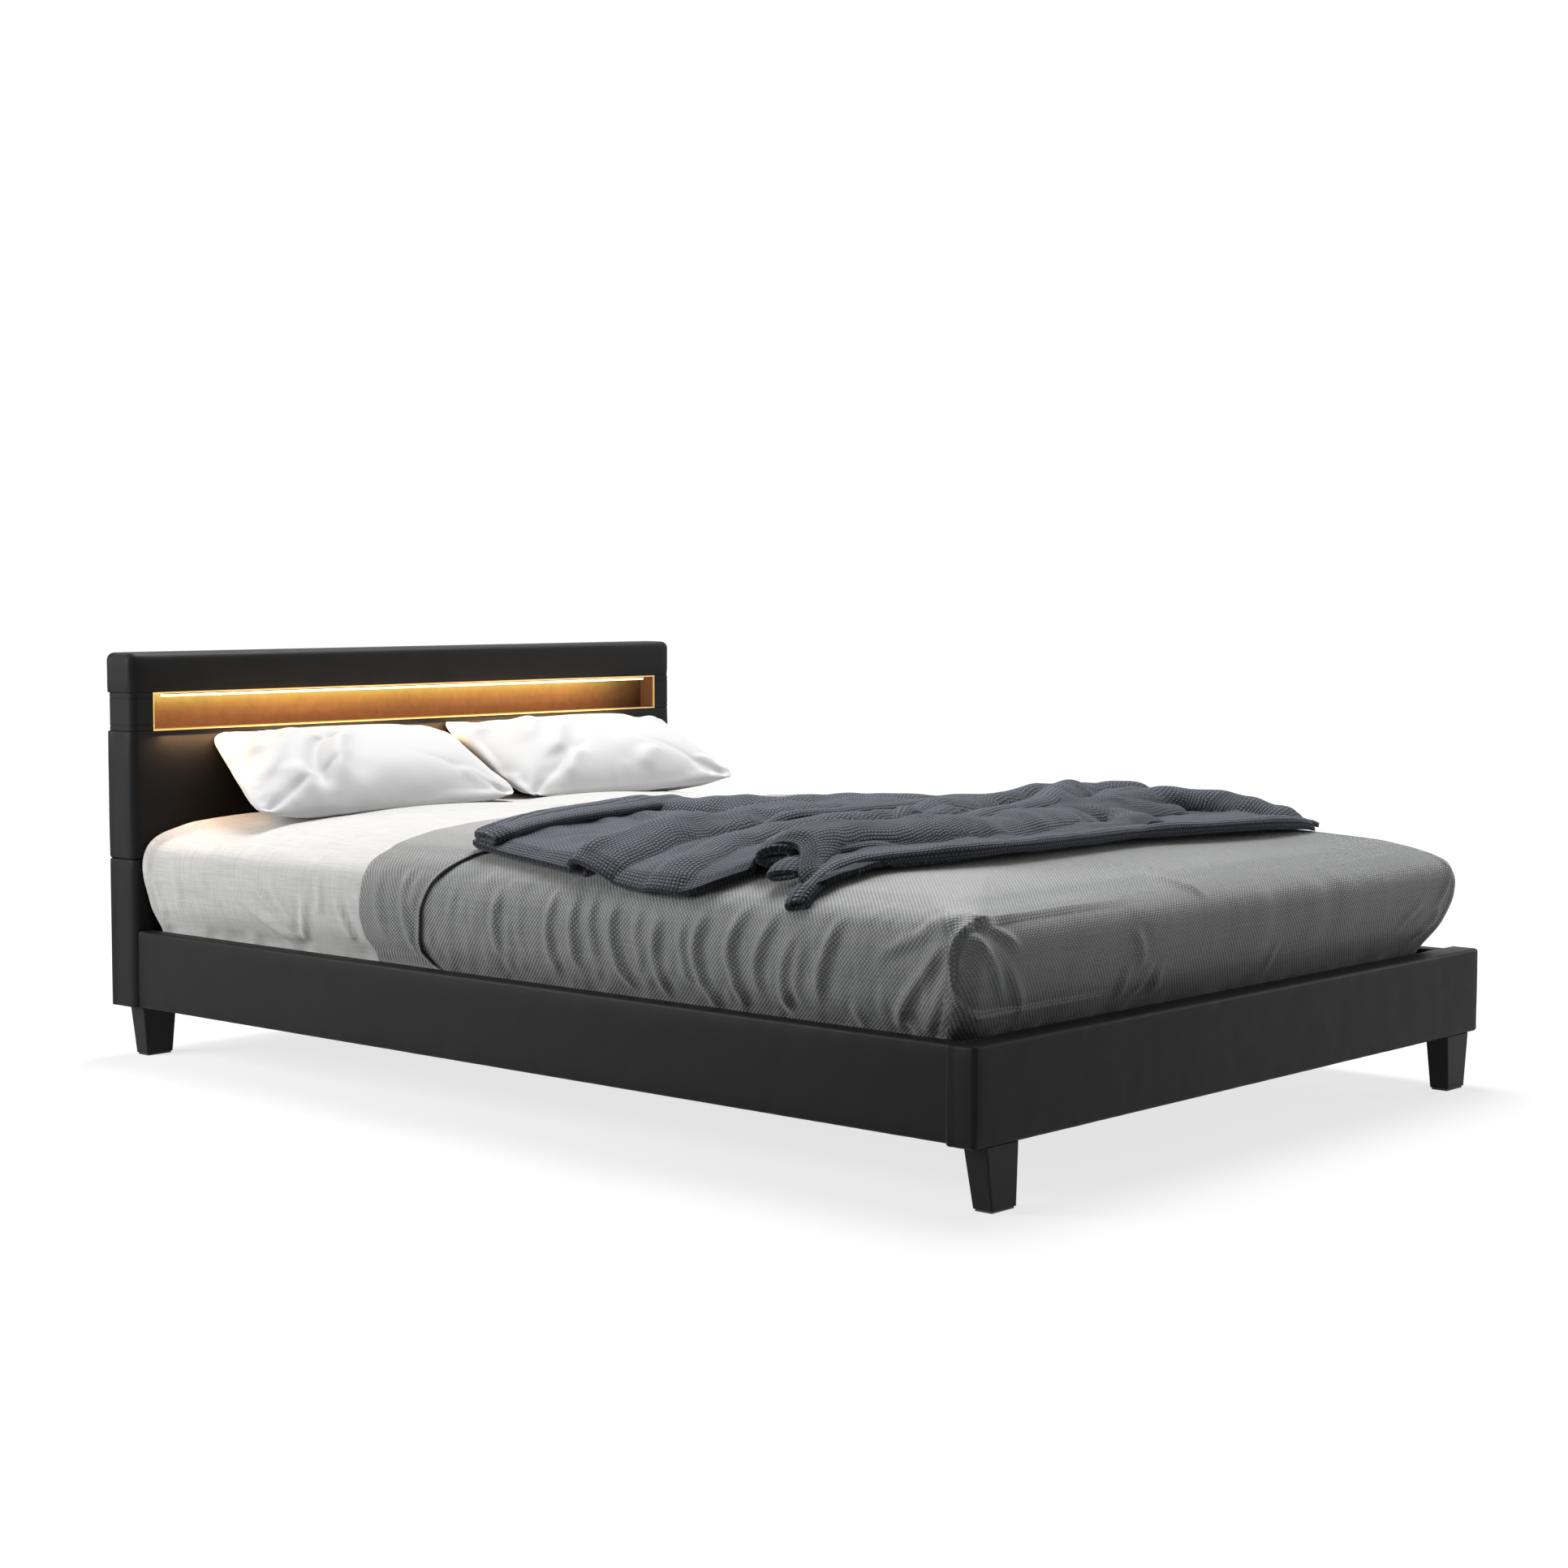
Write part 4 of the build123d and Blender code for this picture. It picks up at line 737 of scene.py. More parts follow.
def laid_flat(points, normals, drop, half, radius, y0, y1):
    """Where the rings' points lie in the cloth: the side's weave runs on past each corner."""
    sign_x, sign_y = np.sign(normals[..., 0]), np.sign(normals[..., 1])
    turned = np.arctan2(np.abs(normals[..., 1]), np.abs(normals[..., 0]))
    runs_on = turned < 0.3
    end_y = np.where(sign_y < 0, y0, y1)
    side_y = np.where(sign_y == 0, points[..., 1], end_y - sign_y * radius * (1 - turned))
    foot_x = np.where(sign_x == 0, points[..., 0], sign_x * (half - radius * (1 - pi / 2 + turned)))
    unrolled = np.stack([np.where(runs_on, sign_x * half, foot_x), np.where(runs_on, side_y, end_y)], -1)
    share = smoothstep(0.0, 0.05, drop)[..., None]
    straight = np.where(runs_on[..., None], np.sign(normals) * (1, 0), np.sign(normals) * (0, 1))
    return points + share * (unrolled - points) + straight * drop[..., None]


def bed_surface(name, grow, wall_step, top_step, shares, shape, head_edge=None, start=0.0, arc_steps=8):
    """The made bed's surface as rings from its bottom to its middle line.
    shape moves points along the normal."""
    arc = bed_rows(wall_step, top_step, start)
    p = profile_at(arc, grow)
    inward = np.linspace(0, BED_HALF + p["side"][-1], max(3, int(PLATEAU / top_step)))[1:]
    inset = np.concatenate([np.zeros(len(arc)), inward])
    pick = np.concatenate([np.arange(len(arc)), np.full(len(inward), len(arc) - 1)])
    side, foot, head, z, nx, nz = (p[k][pick] for k in ("side", "foot", "head", "z", "nx", "nz"))
    half = BED_HALF + side - inset
    radius = np.minimum(BED_CORNER + grow + 0.45 * (np.maximum(0, -side) + inset), half * 0.98)
    y0 = BED_FOOT - foot + inset
    y1 = BED_HEAD + head - inset if head_edge is None else np.full(len(half), head_edge)
    points, normals = ring_points(-half, half, y0, y1, radius, shares, arc_steps)
    full = with_height(points, z)
    to_top = np.concatenate([FULL_ARC - arc, np.zeros(len(inward))])
    drop = (to_top - (side - side[-1]))[:, None]
    flat = laid_flat(points, normals, drop, *(v[:, None] for v in (half, radius, y0, y1)))
    normal = with_height(normals * nx[:, None, None], nz)
    full = full + normal * shape(full, normals)[..., None]
    return grid_object(name, full, flat, wrap=head_edge is None)


# Wrinkles read from the photograph: height, lean and points (Y from the foot, Z) down the left side
sheet_creases = creases(
    (5, -1, (1761, 381), (1699, 346), (1651, 302), (1631, 269), (1618, 259)),
    (4.5, -1, (1818, 377), (1776, 336), (1720, 305), (1665, 275), (1638, 262)),
    (5, 1, (1588, 367), (1582, 333), (1597, 298), (1618, 262)),
    (3, 0, (1690, 395), (1660, 350), (1630, 300), (1620, 262)),
    (5, -1, (1488, 366), (1476, 324), (1464, 275)),
    (4.5, -1, (1436, 378), (1410, 350), (1400, 320)),
    (3, 1, (1540, 400), (1530, 360), (1545, 320)),
    (2.5, -1, (1900, 390), (1880, 350), (1840, 310)),
    (4.5, 1, (2039, 379), (2029, 326), (2020, 280)),
    (2.2, -1, (1970, 400), (1960, 350), (1965, 300)),
)
SHEET_PINCH = (1.618, 0.255)
# Where the sides pass into the top, and how far they are drawn in under the bedspread's wrinkles
WALL_TOP = (0.470, 0.440)
WRINKLE_ROOM = 0.009
spread_creases = creases(
    (5, -1, (1037, 410), (1057, 350), (1057, 300)),
    (3, 1, (985, 405), (1000, 350), (992, 300)),
    (6.5, -1, (891, 420), (928, 349), (923, 290)),
    (6, -1, (847, 415), (869, 341), (865, 300)),
    (5, -1, (807, 418), (821, 358), (818, 310)),
    (6.5, -1, (751, 415), (773, 368), (769, 313), (743, 275)),
    (3, 1, (700, 405), (716, 360), (712, 310)),
    (6, -1, (657, 400), (674, 351), (683, 321), (671, 270)),
    (4.5, -1, (608, 390), (616, 332), (608, 300)),
    (6.5, -1, (550, 412), (587, 353), (587, 317), (563, 258)),
    (7, -1, (462, 420), (510, 365), (510, 324), (506, 262)),
    (6, -1, (400, 415), (459, 346), (463, 295)),
    (5.5, -1, (354, 402), (404, 334), (412, 292), (400, 265)),
    (4, -1, (342, 390), (377, 319), (380, 290)),
    (6.5, -1, (271, 418), (323, 341), (339, 295)),
    (4, 1, (271, 310), (256, 262)),
    (4, 1, (175, 300), (139, 252)),
    (4, -1, (55, 431), (83, 418), (130, 412)),
    (6.5, -1, (58, 405), (97, 367), (147, 329), (205, 272)),
    (5, -1, (55, 418), (126, 398), (205, 367)),
    (3.5, -1, (60, 360), (100, 315), (150, 270)),
)
# Folded corner at the foot: its edge as (Z, Y from the foot), from the bottom up
corner_edge_side = in_metres((215, 38), (257, 41), (299, 56), (376, 60), (445, 44))
# Wrinkles of the foot face, with points (X, Z)
foot_creases = creases(
    (5, -1, (-712, 452), (-644, 410), (-601, 374)),
    (3.6, -1, (-730, 444), (-686, 383), (-644, 326), (-609, 291)),
    (3.5, -1, (-650, 370), (-600, 320), (-560, 270)),
    (4.5, 1, (-320, 390), (-290, 344), (-280, 315)),
    (3.5, -1, (-319, 336), (-318, 291), (-309, 268)),
    (3.5, 1, (-261, 335), (-251, 301), (-280, 270)),
    (3.5, -1, (-232, 330), (-226, 293), (-201, 270)),
    (4.5, 1, (-170, 452), (-130, 440), (-83, 418)),
    (2.5, 1, (120, 330), (110, 290), (125, 262)),
    (3.5, 1, (593, 354), (560, 335), (520, 309)),
    (4, 1, (640, 345), (659, 316), (596, 277)),
    (4, 1, (700, 430), (670, 380), (630, 330)),
)


def along_table(value, table):
    """Second column of a table at values of its first."""
    keys, results = np.array(table).T
    return np.interp(value, keys, results)


def wrinkles(a, b, rows, growth, width, ends, valley):
    """All the creases of a table, each growth times as high as written."""
    return sum(crease(a, b, points, growth * height, width, ends, valley, lean)
               for points, height, lean in rows)


def facing(normals, x, y):
    """Share of a surface that looks along a way."""
    return smoothstep(0.55, 0.95, normals[..., 0] * x + normals[..., 1] * y)


def under_spread(full):
    """Share of the bed's sides that the bedspread covers."""
    return smoothstep(*WALL_TOP, full[..., 2]) * smoothstep(1.26, 1.18, full[..., 1] - FOOT)


def sheet_shape(full, normals):
    y, z = full[..., 1] - FOOT, full[..., 2]
    left = facing(normals, -1, 0) * smoothstep(1.28, 1.36, y)
    out = wrinkles(y, z, sheet_creases, 1.4, 0.0080, (0.40, 0.15), 0.40)
    out = out - 0.003 * bell(y - SHEET_PINCH[0], 0.020) * bell(z - SHEET_PINCH[1], 0.016)
    out = out + smoothstep(0.275, 0.250, z) * 0.0035 * noise(full * (1, 1, 0.2), 34, 4)
    out = out + noise(full * (1, 1, 0.4), 14, 8) * 0.0016 * smoothstep(0.42, 0.36, z)
    tuck = creases((2.5, 1, (2066, 420), (2045, 300), (2020, 250)))
    out = out + wrinkles(y, z, tuck, 1, 0.005, (0.1, 0.1), 0.8)
    out = out + 0.018 * smoothstep(1.80, 2.04, y) * smoothstep(0.34, 0.21, z)
    right = 0.002 * facing(normals, 1, 0) * smoothstep(0.470, 0.430, z) * noise(full * (1, 1, 0.3), 22, 9)
    head_corner = np.clip(2 * np.abs(normals[..., 0]) * normals[..., 1], 0, 1) ** 1.5
    plump = 0.015 * head_corner * smoothstep(0.50, 0.44, z)
    return left * out + right + plump - WRINKLE_ROOM * under_spread(full)


def pad_shape(full, normals):
    return -WRINKLE_ROOM * smoothstep(*WALL_TOP, full[..., 2])


def spread_shape(full, normals):
    x, y, z = full[..., 0], full[..., 1] - FOOT, full[..., 2]
    on_left, on_foot = facing(normals, -1, 0), facing(normals, 0, -1)
    on_right = smoothstep(0.2, 0.6, normals[..., 0])
    wall = smoothstep(0.452, 0.41, z)
    apex = smoothstep(0.452, 0.425, z)
    slanted = full * (1, 1, 0.22) + z[..., None] * (0, 0.35, 0)
    left = (0.0018 * noise(slanted, 24, 11) + 0.0018 * noise(slanted, 60, 10)) * wall
    longer = [(points * (1, 1.25) - (0, 0.095), height, lean) for points, height, lean in spread_creases]
    left = left + wrinkles(y, z, longer, 1.15, 0.0095, (0.30, 0.25), 0.25)
    foot = 0.0016 * noise(full * (1, 1, 0.3), 18, 13) * wall
    foot = foot + wrinkles(x, z, foot_creases, 1.2, 0.0085, (0.35, 0.30), 0.30)
    drawn = smoothstep(0.270, 0.240, z) * 0.0030 * noise(full * (1, 1, 0.15), 30, 12)
    past_edge = y - along_table(z, corner_edge_side)
    panel = smoothstep(-0.0010, 0.0010, past_edge)
    under = (1 - panel) * smoothstep(0.150, 0.040, x + BED_HALF)
    fold = 0.0040 * panel * bell(np.maximum(0, past_edge), 0.050) - 0.0052 * under
    fold = fold + 0.0014 * bell(past_edge - 0.0035, 0.0030)
    out = on_left * (left + drawn) + on_foot * (foot + drawn) + apex * smoothstep(-0.2, -0.5, x) * fold
    ripples = noise(full * (1, 1, 0.2), 20, 14) + noise(full * (1, 1, 0.2), 45, 15)
    out = out + on_right * wall * 0.003 * ripples
    out = out + smoothstep(0.455, 0.478, z) * 0.0012 * noise(full, 5, 16)
    return np.maximum(out, -0.0035 - 0.0085 * under_spread(full))


pad_steps = (even(60), even(40), even(60), even(40))
pad = close_holes(bed_surface("mattress_pad", -0.003, 0.02, 0.05, pad_steps, pad_shape))
finish_piece(pad, "ticking", "mattress", "ticking", "mattress_core", "mattress_comfort_layer",
             "mattress_cover")

head_shares = np.concatenate([even(240)[:84], np.linspace(0.36, 0.99, 32)])
sheet_shares = (head_shares, even(50), 1 - head_shares[::-1], even(50))
sheet = bed_surface("fitted_sheet_cloth", 0.0, 0.006, 0.03, sheet_shares, sheet_shape, arc_steps=14)
weld(sheet, 0.0003)
thicken(sheet, 0.0012)
finish_piece(sheet, "linen", "mattress", "linen", "fitted_sheet")

# Bedspread: a shell over the foot part and both sides, with its head end turned down as a band
side_shares = np.concatenate([np.linspace(0.004, 0.90, 220), np.linspace(0.904, 0.998, 46)])
foot_shares = np.concatenate([np.linspace(0.003, 0.12, 56), np.linspace(0.126, 0.996, 140)])
spread_shares = (side_shares, foot_shares, 1 - side_shares[::-1], [])
spread = bed_surface("spread_body", SPREAD_GROW, 0.005, 0.016, spread_shares, spread_shape,
                     head_edge=SPREAD_HEAD - 0.012, start=0.010, arc_steps=40)
weld(spread, 0.0003)
thicken(spread, 0.003)

# The band's two edges, as (Z, Y from the foot) up the left side
band_hem = in_metres((215, 1195), (238, 1212), (254, 1246), (275, 1262), (300, 1257), (330, 1246),
                     (359, 1237), (406, 1211), (453, 1174), (481, 1111), (489.5, 1085))
band_fold = in_metres((215, 1380), (256, 1386), (292, 1405), (330, 1407), (419, 1383), (450, 1388),
                      (489.5, 1400))


# The band's wrinkles: a crease as above, its width, the fading of its ends and its hollow
band_wrinkles = (
    ((6.5, 1, (1270, 435), (1280, 369), (1281, 323), (1269, 260)), 0.011, (0.25, 0.3), 0.6),
    ((3.5, -1, (1345, 430), (1352, 350), (1340, 280)), 0.012, (0.3, 0.3), 0.5),
    ((3, 1, (1235, 425), (1250, 390), (1262, 350)), 0.009, (0.3, 0.3), 0.6),
)


def band_creases(full):
    y, z = full[..., 1] - FOOT, full[..., 2]
    out = 0.0015 * noise(full * (1, 1, 0.25), 24, 21) * smoothstep(0.455, 0.41, z)
    for row, *sizes in band_wrinkles:
        out = out + wrinkles(y, z, creases(row), 1, *sizes)
    return out


def band_object():
    """The turned-down end: a strip across the bed, sewn at its hem and rolled over at its head fold."""
    p = profile_at(bed_rows(0.006, 0.016, 0.010), BAND_GROW)
    x = -(BED_HALF + p["side"])
    top = np.linspace(x[-1], -x[-1], 26)[1:-1]
    level = np.ones(len(top))
    xs = np.concatenate([x, top, -x[::-1]])
    zs = np.concatenate([p["z"], p["z"][-1] * level, p["z"][::-1]])
    nx = np.concatenate([-p["nx"], 0 * level, p["nx"][::-1]])[:, None]
    nz = np.concatenate([p["nz"], level, p["nz"][::-1]])[:, None]
    hem = (along_table(zs, band_hem) + FOOT)[:, None]
    fold = (along_table(zs, band_fold) + FOOT)[:, None]
    share = np.concatenate([[0, 0.01, 0.02, 0.035, 0.05], np.linspace(0.07, 0.95, 34), [0.97, 0.985]])
    turn = np.linspace(0, pi, 9)
    under = np.linspace(0.01, 0.05, 5)
    roll = (BAND_GROW - SPREAD_GROW + 0.004) / 2
    y = np.concatenate([hem + (fold - hem) * share, fold + roll * np.sin(turn), fold - under], 1)
    drop = np.concatenate([0 * share, -roll * (1 - np.cos(turn)), -2 * roll + 0 * under])
    full = np.stack([xs[:, None] + nx * drop, y, zs[:, None] + nz * drop], -1)
    outer = (np.arange(y.shape[1]) < len(share) + 5).astype(float)
    from_hem = full[..., 1] - hem
    lift = band_creases(full) * smoothstep(0.2, -0.4, full[..., 0])
    lift = lift - 0.0016 * bell(from_hem - 0.011, HEM_WIDTH) + 0.0010 * bell(from_hem, HEM_WIDTH)
    full[..., 0] += nx * lift * outer
    full[..., 2] += nz * lift * outer
    across = lengths_along(np.stack([xs, zs], -1))
    along = np.cumsum(np.linalg.norm(np.diff(full, axis=1), axis=2), axis=1)
    along = np.concatenate([np.zeros((len(xs), 1)), along], 1)
    uv = np.stack([np.broadcast_to(across[:, None], y.shape), along], -1)
    return grid_object("spread_band", full, uv, flip=True)


bedspread = join("bedspread_cloth", [spread, thicken(band_object(), 0.0028)])
finish_piece(bedspread, "basket", "mattress", "basket_weave", "bedspread")

# Pillows: a sewn case blown up as cloth, then leant on the mattress and the headboard.
# Their creases have points (U, V) in hundredths of the way from the front's middle to its edges.
PILLOW_DEPTH = 0.322
PILLOW_THICK = 0.076
PILLOW_CORNER = 7.0
PILLOW_LEAN = 27.0
PILLOW_HEEL = 0.277
PILLOW_GROWTH = 0.010
pillow_left_creases = creases(
    (5, 0, (-80, 10), (-84, 45), (-74, 66), (-60, 55)),
    (6, -1, (-92, -55), (-70, 10), (-52, 62), (-36, 86)),
    (-12, 0, (-12, 55), (-34, 20), (-48, -25), (-50, -85)),
    (6, 1, (-2, 60), (-22, 20), (-36, -25), (-40, -80)),
    (4, -1, (-70, -20), (-60, -55), (-58, -85)),
    (4.5, 1, (55, 55), (74, 72), (92, 88)),
    (4.5, -1, (55, -60), (75, -74), (92, -88)),
    unit=100)
pillow_right_creases = creases(
    (4.5, 0, (-86, 35), (-84, 70), (-70, 82), (-62, 60)),
    (5, -1, (-72, -10), (-52, 40), (-36, 86)),
    (6, -1, (-62, -50), (-46, -10), (-34, 30)),
    (5, 1, (-60, -90), (-50, -60), (-36, -40)),
    (4.5, 1, (62, 30), (80, 66), (95, 90)),
    (5, -1, (70, -55), (86, -72), (97, -90)),
    (3.5, 1, (10, -85), (20, -62), (36, -50)),
    unit=100)


def sewn_pillow(name, width, slant, rows, seed):
    """Front and back of a pillow, sewn round the edge, with drawn-in sides and pointed corners."""
    depth = PILLOW_DEPTH
    u, v = np.meshgrid(np.linspace(-1, 1, 76), np.linspace(-1, 1, 44), indexing="ij")
    across, up = np.abs(u), np.abs(v)
    square = np.maximum(across, up)
    corners = across ** PILLOW_CORNER + up ** PILLOW_CORNER + 1e-12
    rounded = square / corners ** (1 / PILLOW_CORNER)
    x = u * rounded * (1 - 0.030 * (1 - up ** 2.2)) * width / 2
    y = v * rounded * (1 - 0.070 * (1 - across ** 2.6)) * depth / 2
    x = x + slant * v * smoothstep(0.2, -1.0, u)
    y = y + 0.022 * smoothstep(-0.60, -1.0, u) * smoothstep(0.3, 1.0, v)
    body = PILLOW_THICK * (1 - across ** 3.2) ** 0.62 * (1 - up ** 2.5) ** 0.60
    flat = np.stack([x, y, 0 * x], -1)
    rim = np.minimum(1 - across, (1 - up) * depth / width)
    ridges = wrinkles(u, v, rows, 1.5, 0.085, (0.3, 0.25), 0.45)
    corner = bell(1 - across, 0.22) * bell(1 - up, 0.35)
    spokes = np.sin(9 * np.arctan2((1 - up) * depth, (1 - across) * width + 1e-6) + seed)
    puckers = bell(rim, 0.10) * smoothstep(0, 0.02, rim) * noise(flat, 46, seed) * 0.0022
    waves = noise(flat, 9, seed + 1) * 0.0035 * smoothstep(0.02, 0.3, rim)
    front = body + (ridges + 0.003 * corner * spokes) * smoothstep(0, 0.05, rim) + puckers + waves
    back = 0.96 * body + puckers
    uv = np.stack([x, y], -1)
    halves = [grid_object(name, np.stack([x, y, front], -1), uv)]
    halves.append(grid_object(name + "_back", np.stack([x, y, -back], -1), uv, flip=True))
    return weld(join(name, halves), 0.0006)


def blown_up(ob):
    """The pillow's points after a short cloth run with pressure, each moved no further than the cap."""
    before = points_of(ob)
    m = ob.modifiers.new("cloth", "CLOTH")
    s = m.settings
    s.quality = 6
    s.mass = 0.25
    s.tension_stiffness = s.compression_stiffness = 25
    s.bending_stiffness = 0.6
    s.use_pressure = True
    s.uniform_pressure_force = 3.0
    s.effector_weights.gravity = 0
    m.collision_settings.use_collision = False
    for f in range(1, 15):
        bpy.context.scene.frame_set(f)
    apply_modifiers(ob)
    bpy.context.scene.frame_set(1)
    move = points_of(ob) - before
    far = np.linalg.norm(move, axis=1, keepdims=True)
    return before + move * np.minimum(1, PILLOW_GROWTH / np.maximum(far, 1e-9))


def lean_back(points, middle, turn):
    lean, turn = radians(PILLOW_LEAN), radians(turn)
    x, y, z = points.T
    y, z = y * cos(lean) - z * sin(lean), y * sin(lean) + z * cos(lean)
    x, y = x * cos(turn) - y * sin(turn), x * sin(turn) + y * cos(turn)
    return np.stack([x, y, z], -1) + middle


def sheet_top_at(x):
    return np.interp(np.abs(x), BED_HALF + side_line[::-1, 0], BED_BOTTOM + side_line[::-1, 1])


def make_pillow(side, middle_x, width, turn, slant, rows, seed):
    ob = sewn_pillow(f"pillow_{side}_cushion", width, slant, rows, seed)
    reach = PILLOW_DEPTH / 2
    middle_y = HEAD_FRONT - PILLOW_HEEL + cos(radians(PILLOW_LEAN)) * reach
    middle_z = BED_BOTTOM + BED_HEIGHT + sin(radians(PILLOW_LEAN)) * reach
    placed = lean_back(blown_up(ob), (middle_x, middle_y, middle_z), turn)
    placed[:, 2] = np.maximum(placed[:, 2], sheet_top_at(placed[:, 0]) + 0.0006)
    placed[:, 1] = np.minimum(placed[:, 1], HEAD_FRONT - 0.0008)
    ob.data.vertices.foreach_set("co", placed.astype(np.float32).ravel())
    ob.modifiers.new("round", "SUBSURF").levels = 1
    apply_modifiers(ob)
    smooth_faces(ob.data)
    finish_piece(ob, "sateen", f"pillow_{side}", "sateen", f"pillow_{side}_case", f"pillow_{side}_filling")


make_pillow("left", -0.286, 0.640, -3, 0.040, pillow_left_creases, 31)
make_pillow("right", 0.366, 0.680, 1, 0.0, pillow_right_creases, 37)

# Throw: a knitted blanket over the bedspread, read in the photograph as (A, Y from the foot),
# where A is the way across the bed, laid flat, from its middle line
throw_left = in_metres((-600, 345), (-660, 355), (-690, 387), (-640, 430), (-600, 475), (-640, 525),
                       (-715, 578), (-720, 669), (-712, 766), (-700, 850), (-690, 930), (-681, 997),
                       (-664, 1096), (-645, 1190))
throw_foot = in_metres((-600, 345), (-485, 325), (-410, 268), (-250, 266), (-108, 271), (63, 283),
                       (257, 240), (401, 224), (520, 232), (612, 262))
throw_right = in_metres((612, 262), (600, 380), (565, 500), (500, 640))
throw_head = in_metres((-645, 1190), (-520, 1182), (-380, 1178), (-230, 1172), (-110, 1100), (50, 990),
                       (240, 850), (500, 640))
# Ridges: reach on the foot side and on the head side, and points (A, Y from the foot, height)
throw_ridges = folds(
    (45, 30, (-235, 1150, 30), (-180, 1040, 34), (-128, 964, 36), (0, 820, 38), (120, 720, 42),
     (250, 640, 54)),
    (62, 16, (-697, 868, 30), (-650, 866, 40), (-596, 850, 41), (-530, 855, 41), (-462, 850, 40),
     (-390, 810, 40), (-304, 805, 40), (-200, 798, 40), (-100, 770, 40), (-30, 742, 40), (80, 700, 34)),
    (34, 20, (-709, 668, 10), (-655, 660, 17), (-576, 675, 21), (-501, 672, 23), (-445, 660, 26),
     (-380, 610, 34), (-300, 570, 36)),
    (55, 26, (-670, 470, 40), (-610, 500, 48), (-528, 515, 50), (-462, 505, 51), (-400, 470, 48),
     (-300, 430, 40), (-183, 420, 34), (-32, 440, 31), (100, 480, 30), (190, 520, 34)),
    (32, 22, (-290, 580, 36), (-221, 600, 44), (-55, 621, 45), (93, 652, 46), (236, 638, 52)),
    (24, 20, (-235, 545, 30), (-170, 560, 40), (-117, 572, 36)),
    (36, 30, (62, 508, 34), (160, 550, 46), (248, 595, 58), (340, 620, 62), (400, 610, 60),
     (470, 590, 50)),
    (34, 30, (138, 437, 30), (240, 480, 44), (370, 500, 56), (440, 470, 56), (480, 420, 48),
     (510, 360, 36), (530, 310, 22)),
    (30, 20, (180, 420, 26), (260, 440, 36), (330, 420, 26)),
    (34, 12, (90, 280, 16), (120, 350, 26), (170, 430, 30)),
)
THROW_THICKNESS = 0.009
THROW_LIE = 0.0016
THROW_OVERHANG = 0.35
# Rolled layers: half width, half height and points (A, Y from the foot, height of the top).
# The first ones show their open ends at the left edge.
OPEN_ROLLS = 5
throw_rolls = folds(
    (42, 6.5, (-652, 1150, 21), (-594, 1140, 21), (-524, 1135, 21), (-449, 1126, 21), (-359, 1120, 21),
     (-280, 1126, 21), (-215, 1140, 21)),
    (37, 11.5, (-648, 1152, 42), (-590, 1142, 44), (-520, 1137, 45), (-445, 1128, 45), (-355, 1122, 46),
     (-276, 1128, 50), (-211, 1142, 56)),
    (34, 20, (-628, 490, 54), (-585, 513, 58), (-528, 522, 60), (-462, 505, 60), (-405, 462, 56),
     (-330, 420, 48), (-240, 400, 38)),
    (30, 11, (-666, 440, 34), (-630, 452, 37), (-560, 455, 38), (-480, 430, 36), (-400, 380, 32)),
    (21, 13, (-714, 376, 20), (-675, 385, 24), (-600, 385, 30), (-520, 342, 33), (-440, 290, 32),
     (-350, 273, 30), (-250, 271, 29), (-108, 276, 28), (63, 288, 28), (257, 245, 27), (401, 229, 26),
     (520, 237, 24), (585, 254, 21)),
    (24, 20, (-470, 720, 48), (-400, 680, 56), (-330, 655, 58), (-200, 645, 60), (-50, 665, 58),
     (60, 695, 50)),
    (28, 24, (-300, 420, 44), (-220, 440, 54), (-100, 460, 59), (63, 494, 65), (150, 540, 70),
     (250, 590, 72), (352, 625, 68)),
    (26, 22, (220, 480, 50), (300, 530, 58), (400, 560, 60), (476, 530, 58), (510, 450, 50),
     (530, 360, 40)),
    (18, 14, (-330, 500, 52), (-260, 545, 62), (-190, 570, 62), (-150, 545, 54)),
    (20, 13, (-698, 870, 28), (-672, 868, 38), (-620, 858, 45), (-530, 855, 47), (-462, 850, 46),
     (-390, 815, 46), (-304, 807, 46), (-200, 800, 46), (-100, 772, 46), (-30, 745, 45), (80, 700, 40)),
    (24, 16, (-250, 1165, 42), (-235, 1120, 46), (-180, 1040, 42), (-128, 964, 42), (-60, 890, 43),
     (0, 830, 44), (120, 735, 48), (220, 660, 56)),
)


def on_spread(across, y, lift):
    """Point over the bedspread at a way across laid flat and a place along it, lifted off its surface."""
    p = profile_at(FULL_ARC - np.maximum(0, np.abs(across) - PLATEAU), SPREAD_GROW)
    hem = along_table(p["z"], band_hem) + FOOT
    lift = lift + smoothstep(0.0, 0.02, y - hem) * (BAND_GROW - SPREAD_GROW)
    on_top = np.abs(across) <= PLATEAU
    x = np.where(on_top, across, np.sign(across) * (BED_HALF + p["side"] + p["nx"] * lift))
    return np.stack([x, y, p["z"] + np.where(on_top, 1, p["nz"]) * lift], -1)


def between_edges(across_steps, along_steps):
    """A grid stretched between the throw's four edges."""
    left, right = (smooth_line(e, along_steps) for e in (throw_left, throw_right))
    foot, head = (smooth_line(e, across_steps) for e in (throw_foot, throw_head))
    s = np.linspace(0, 1, across_steps)[:, None, None]
    t = np.linspace(0, 1, along_steps)[None, :, None]
    edges = (1 - t) * foot[:, None] + t * head[:, None] + (1 - s) * left[None] + s * right[None]
    edges = edges - (1 - t) * ((1 - s) * foot[0] + s * foot[-1])
    return edges - t * ((1 - s) * head[0] + s * head[-1])


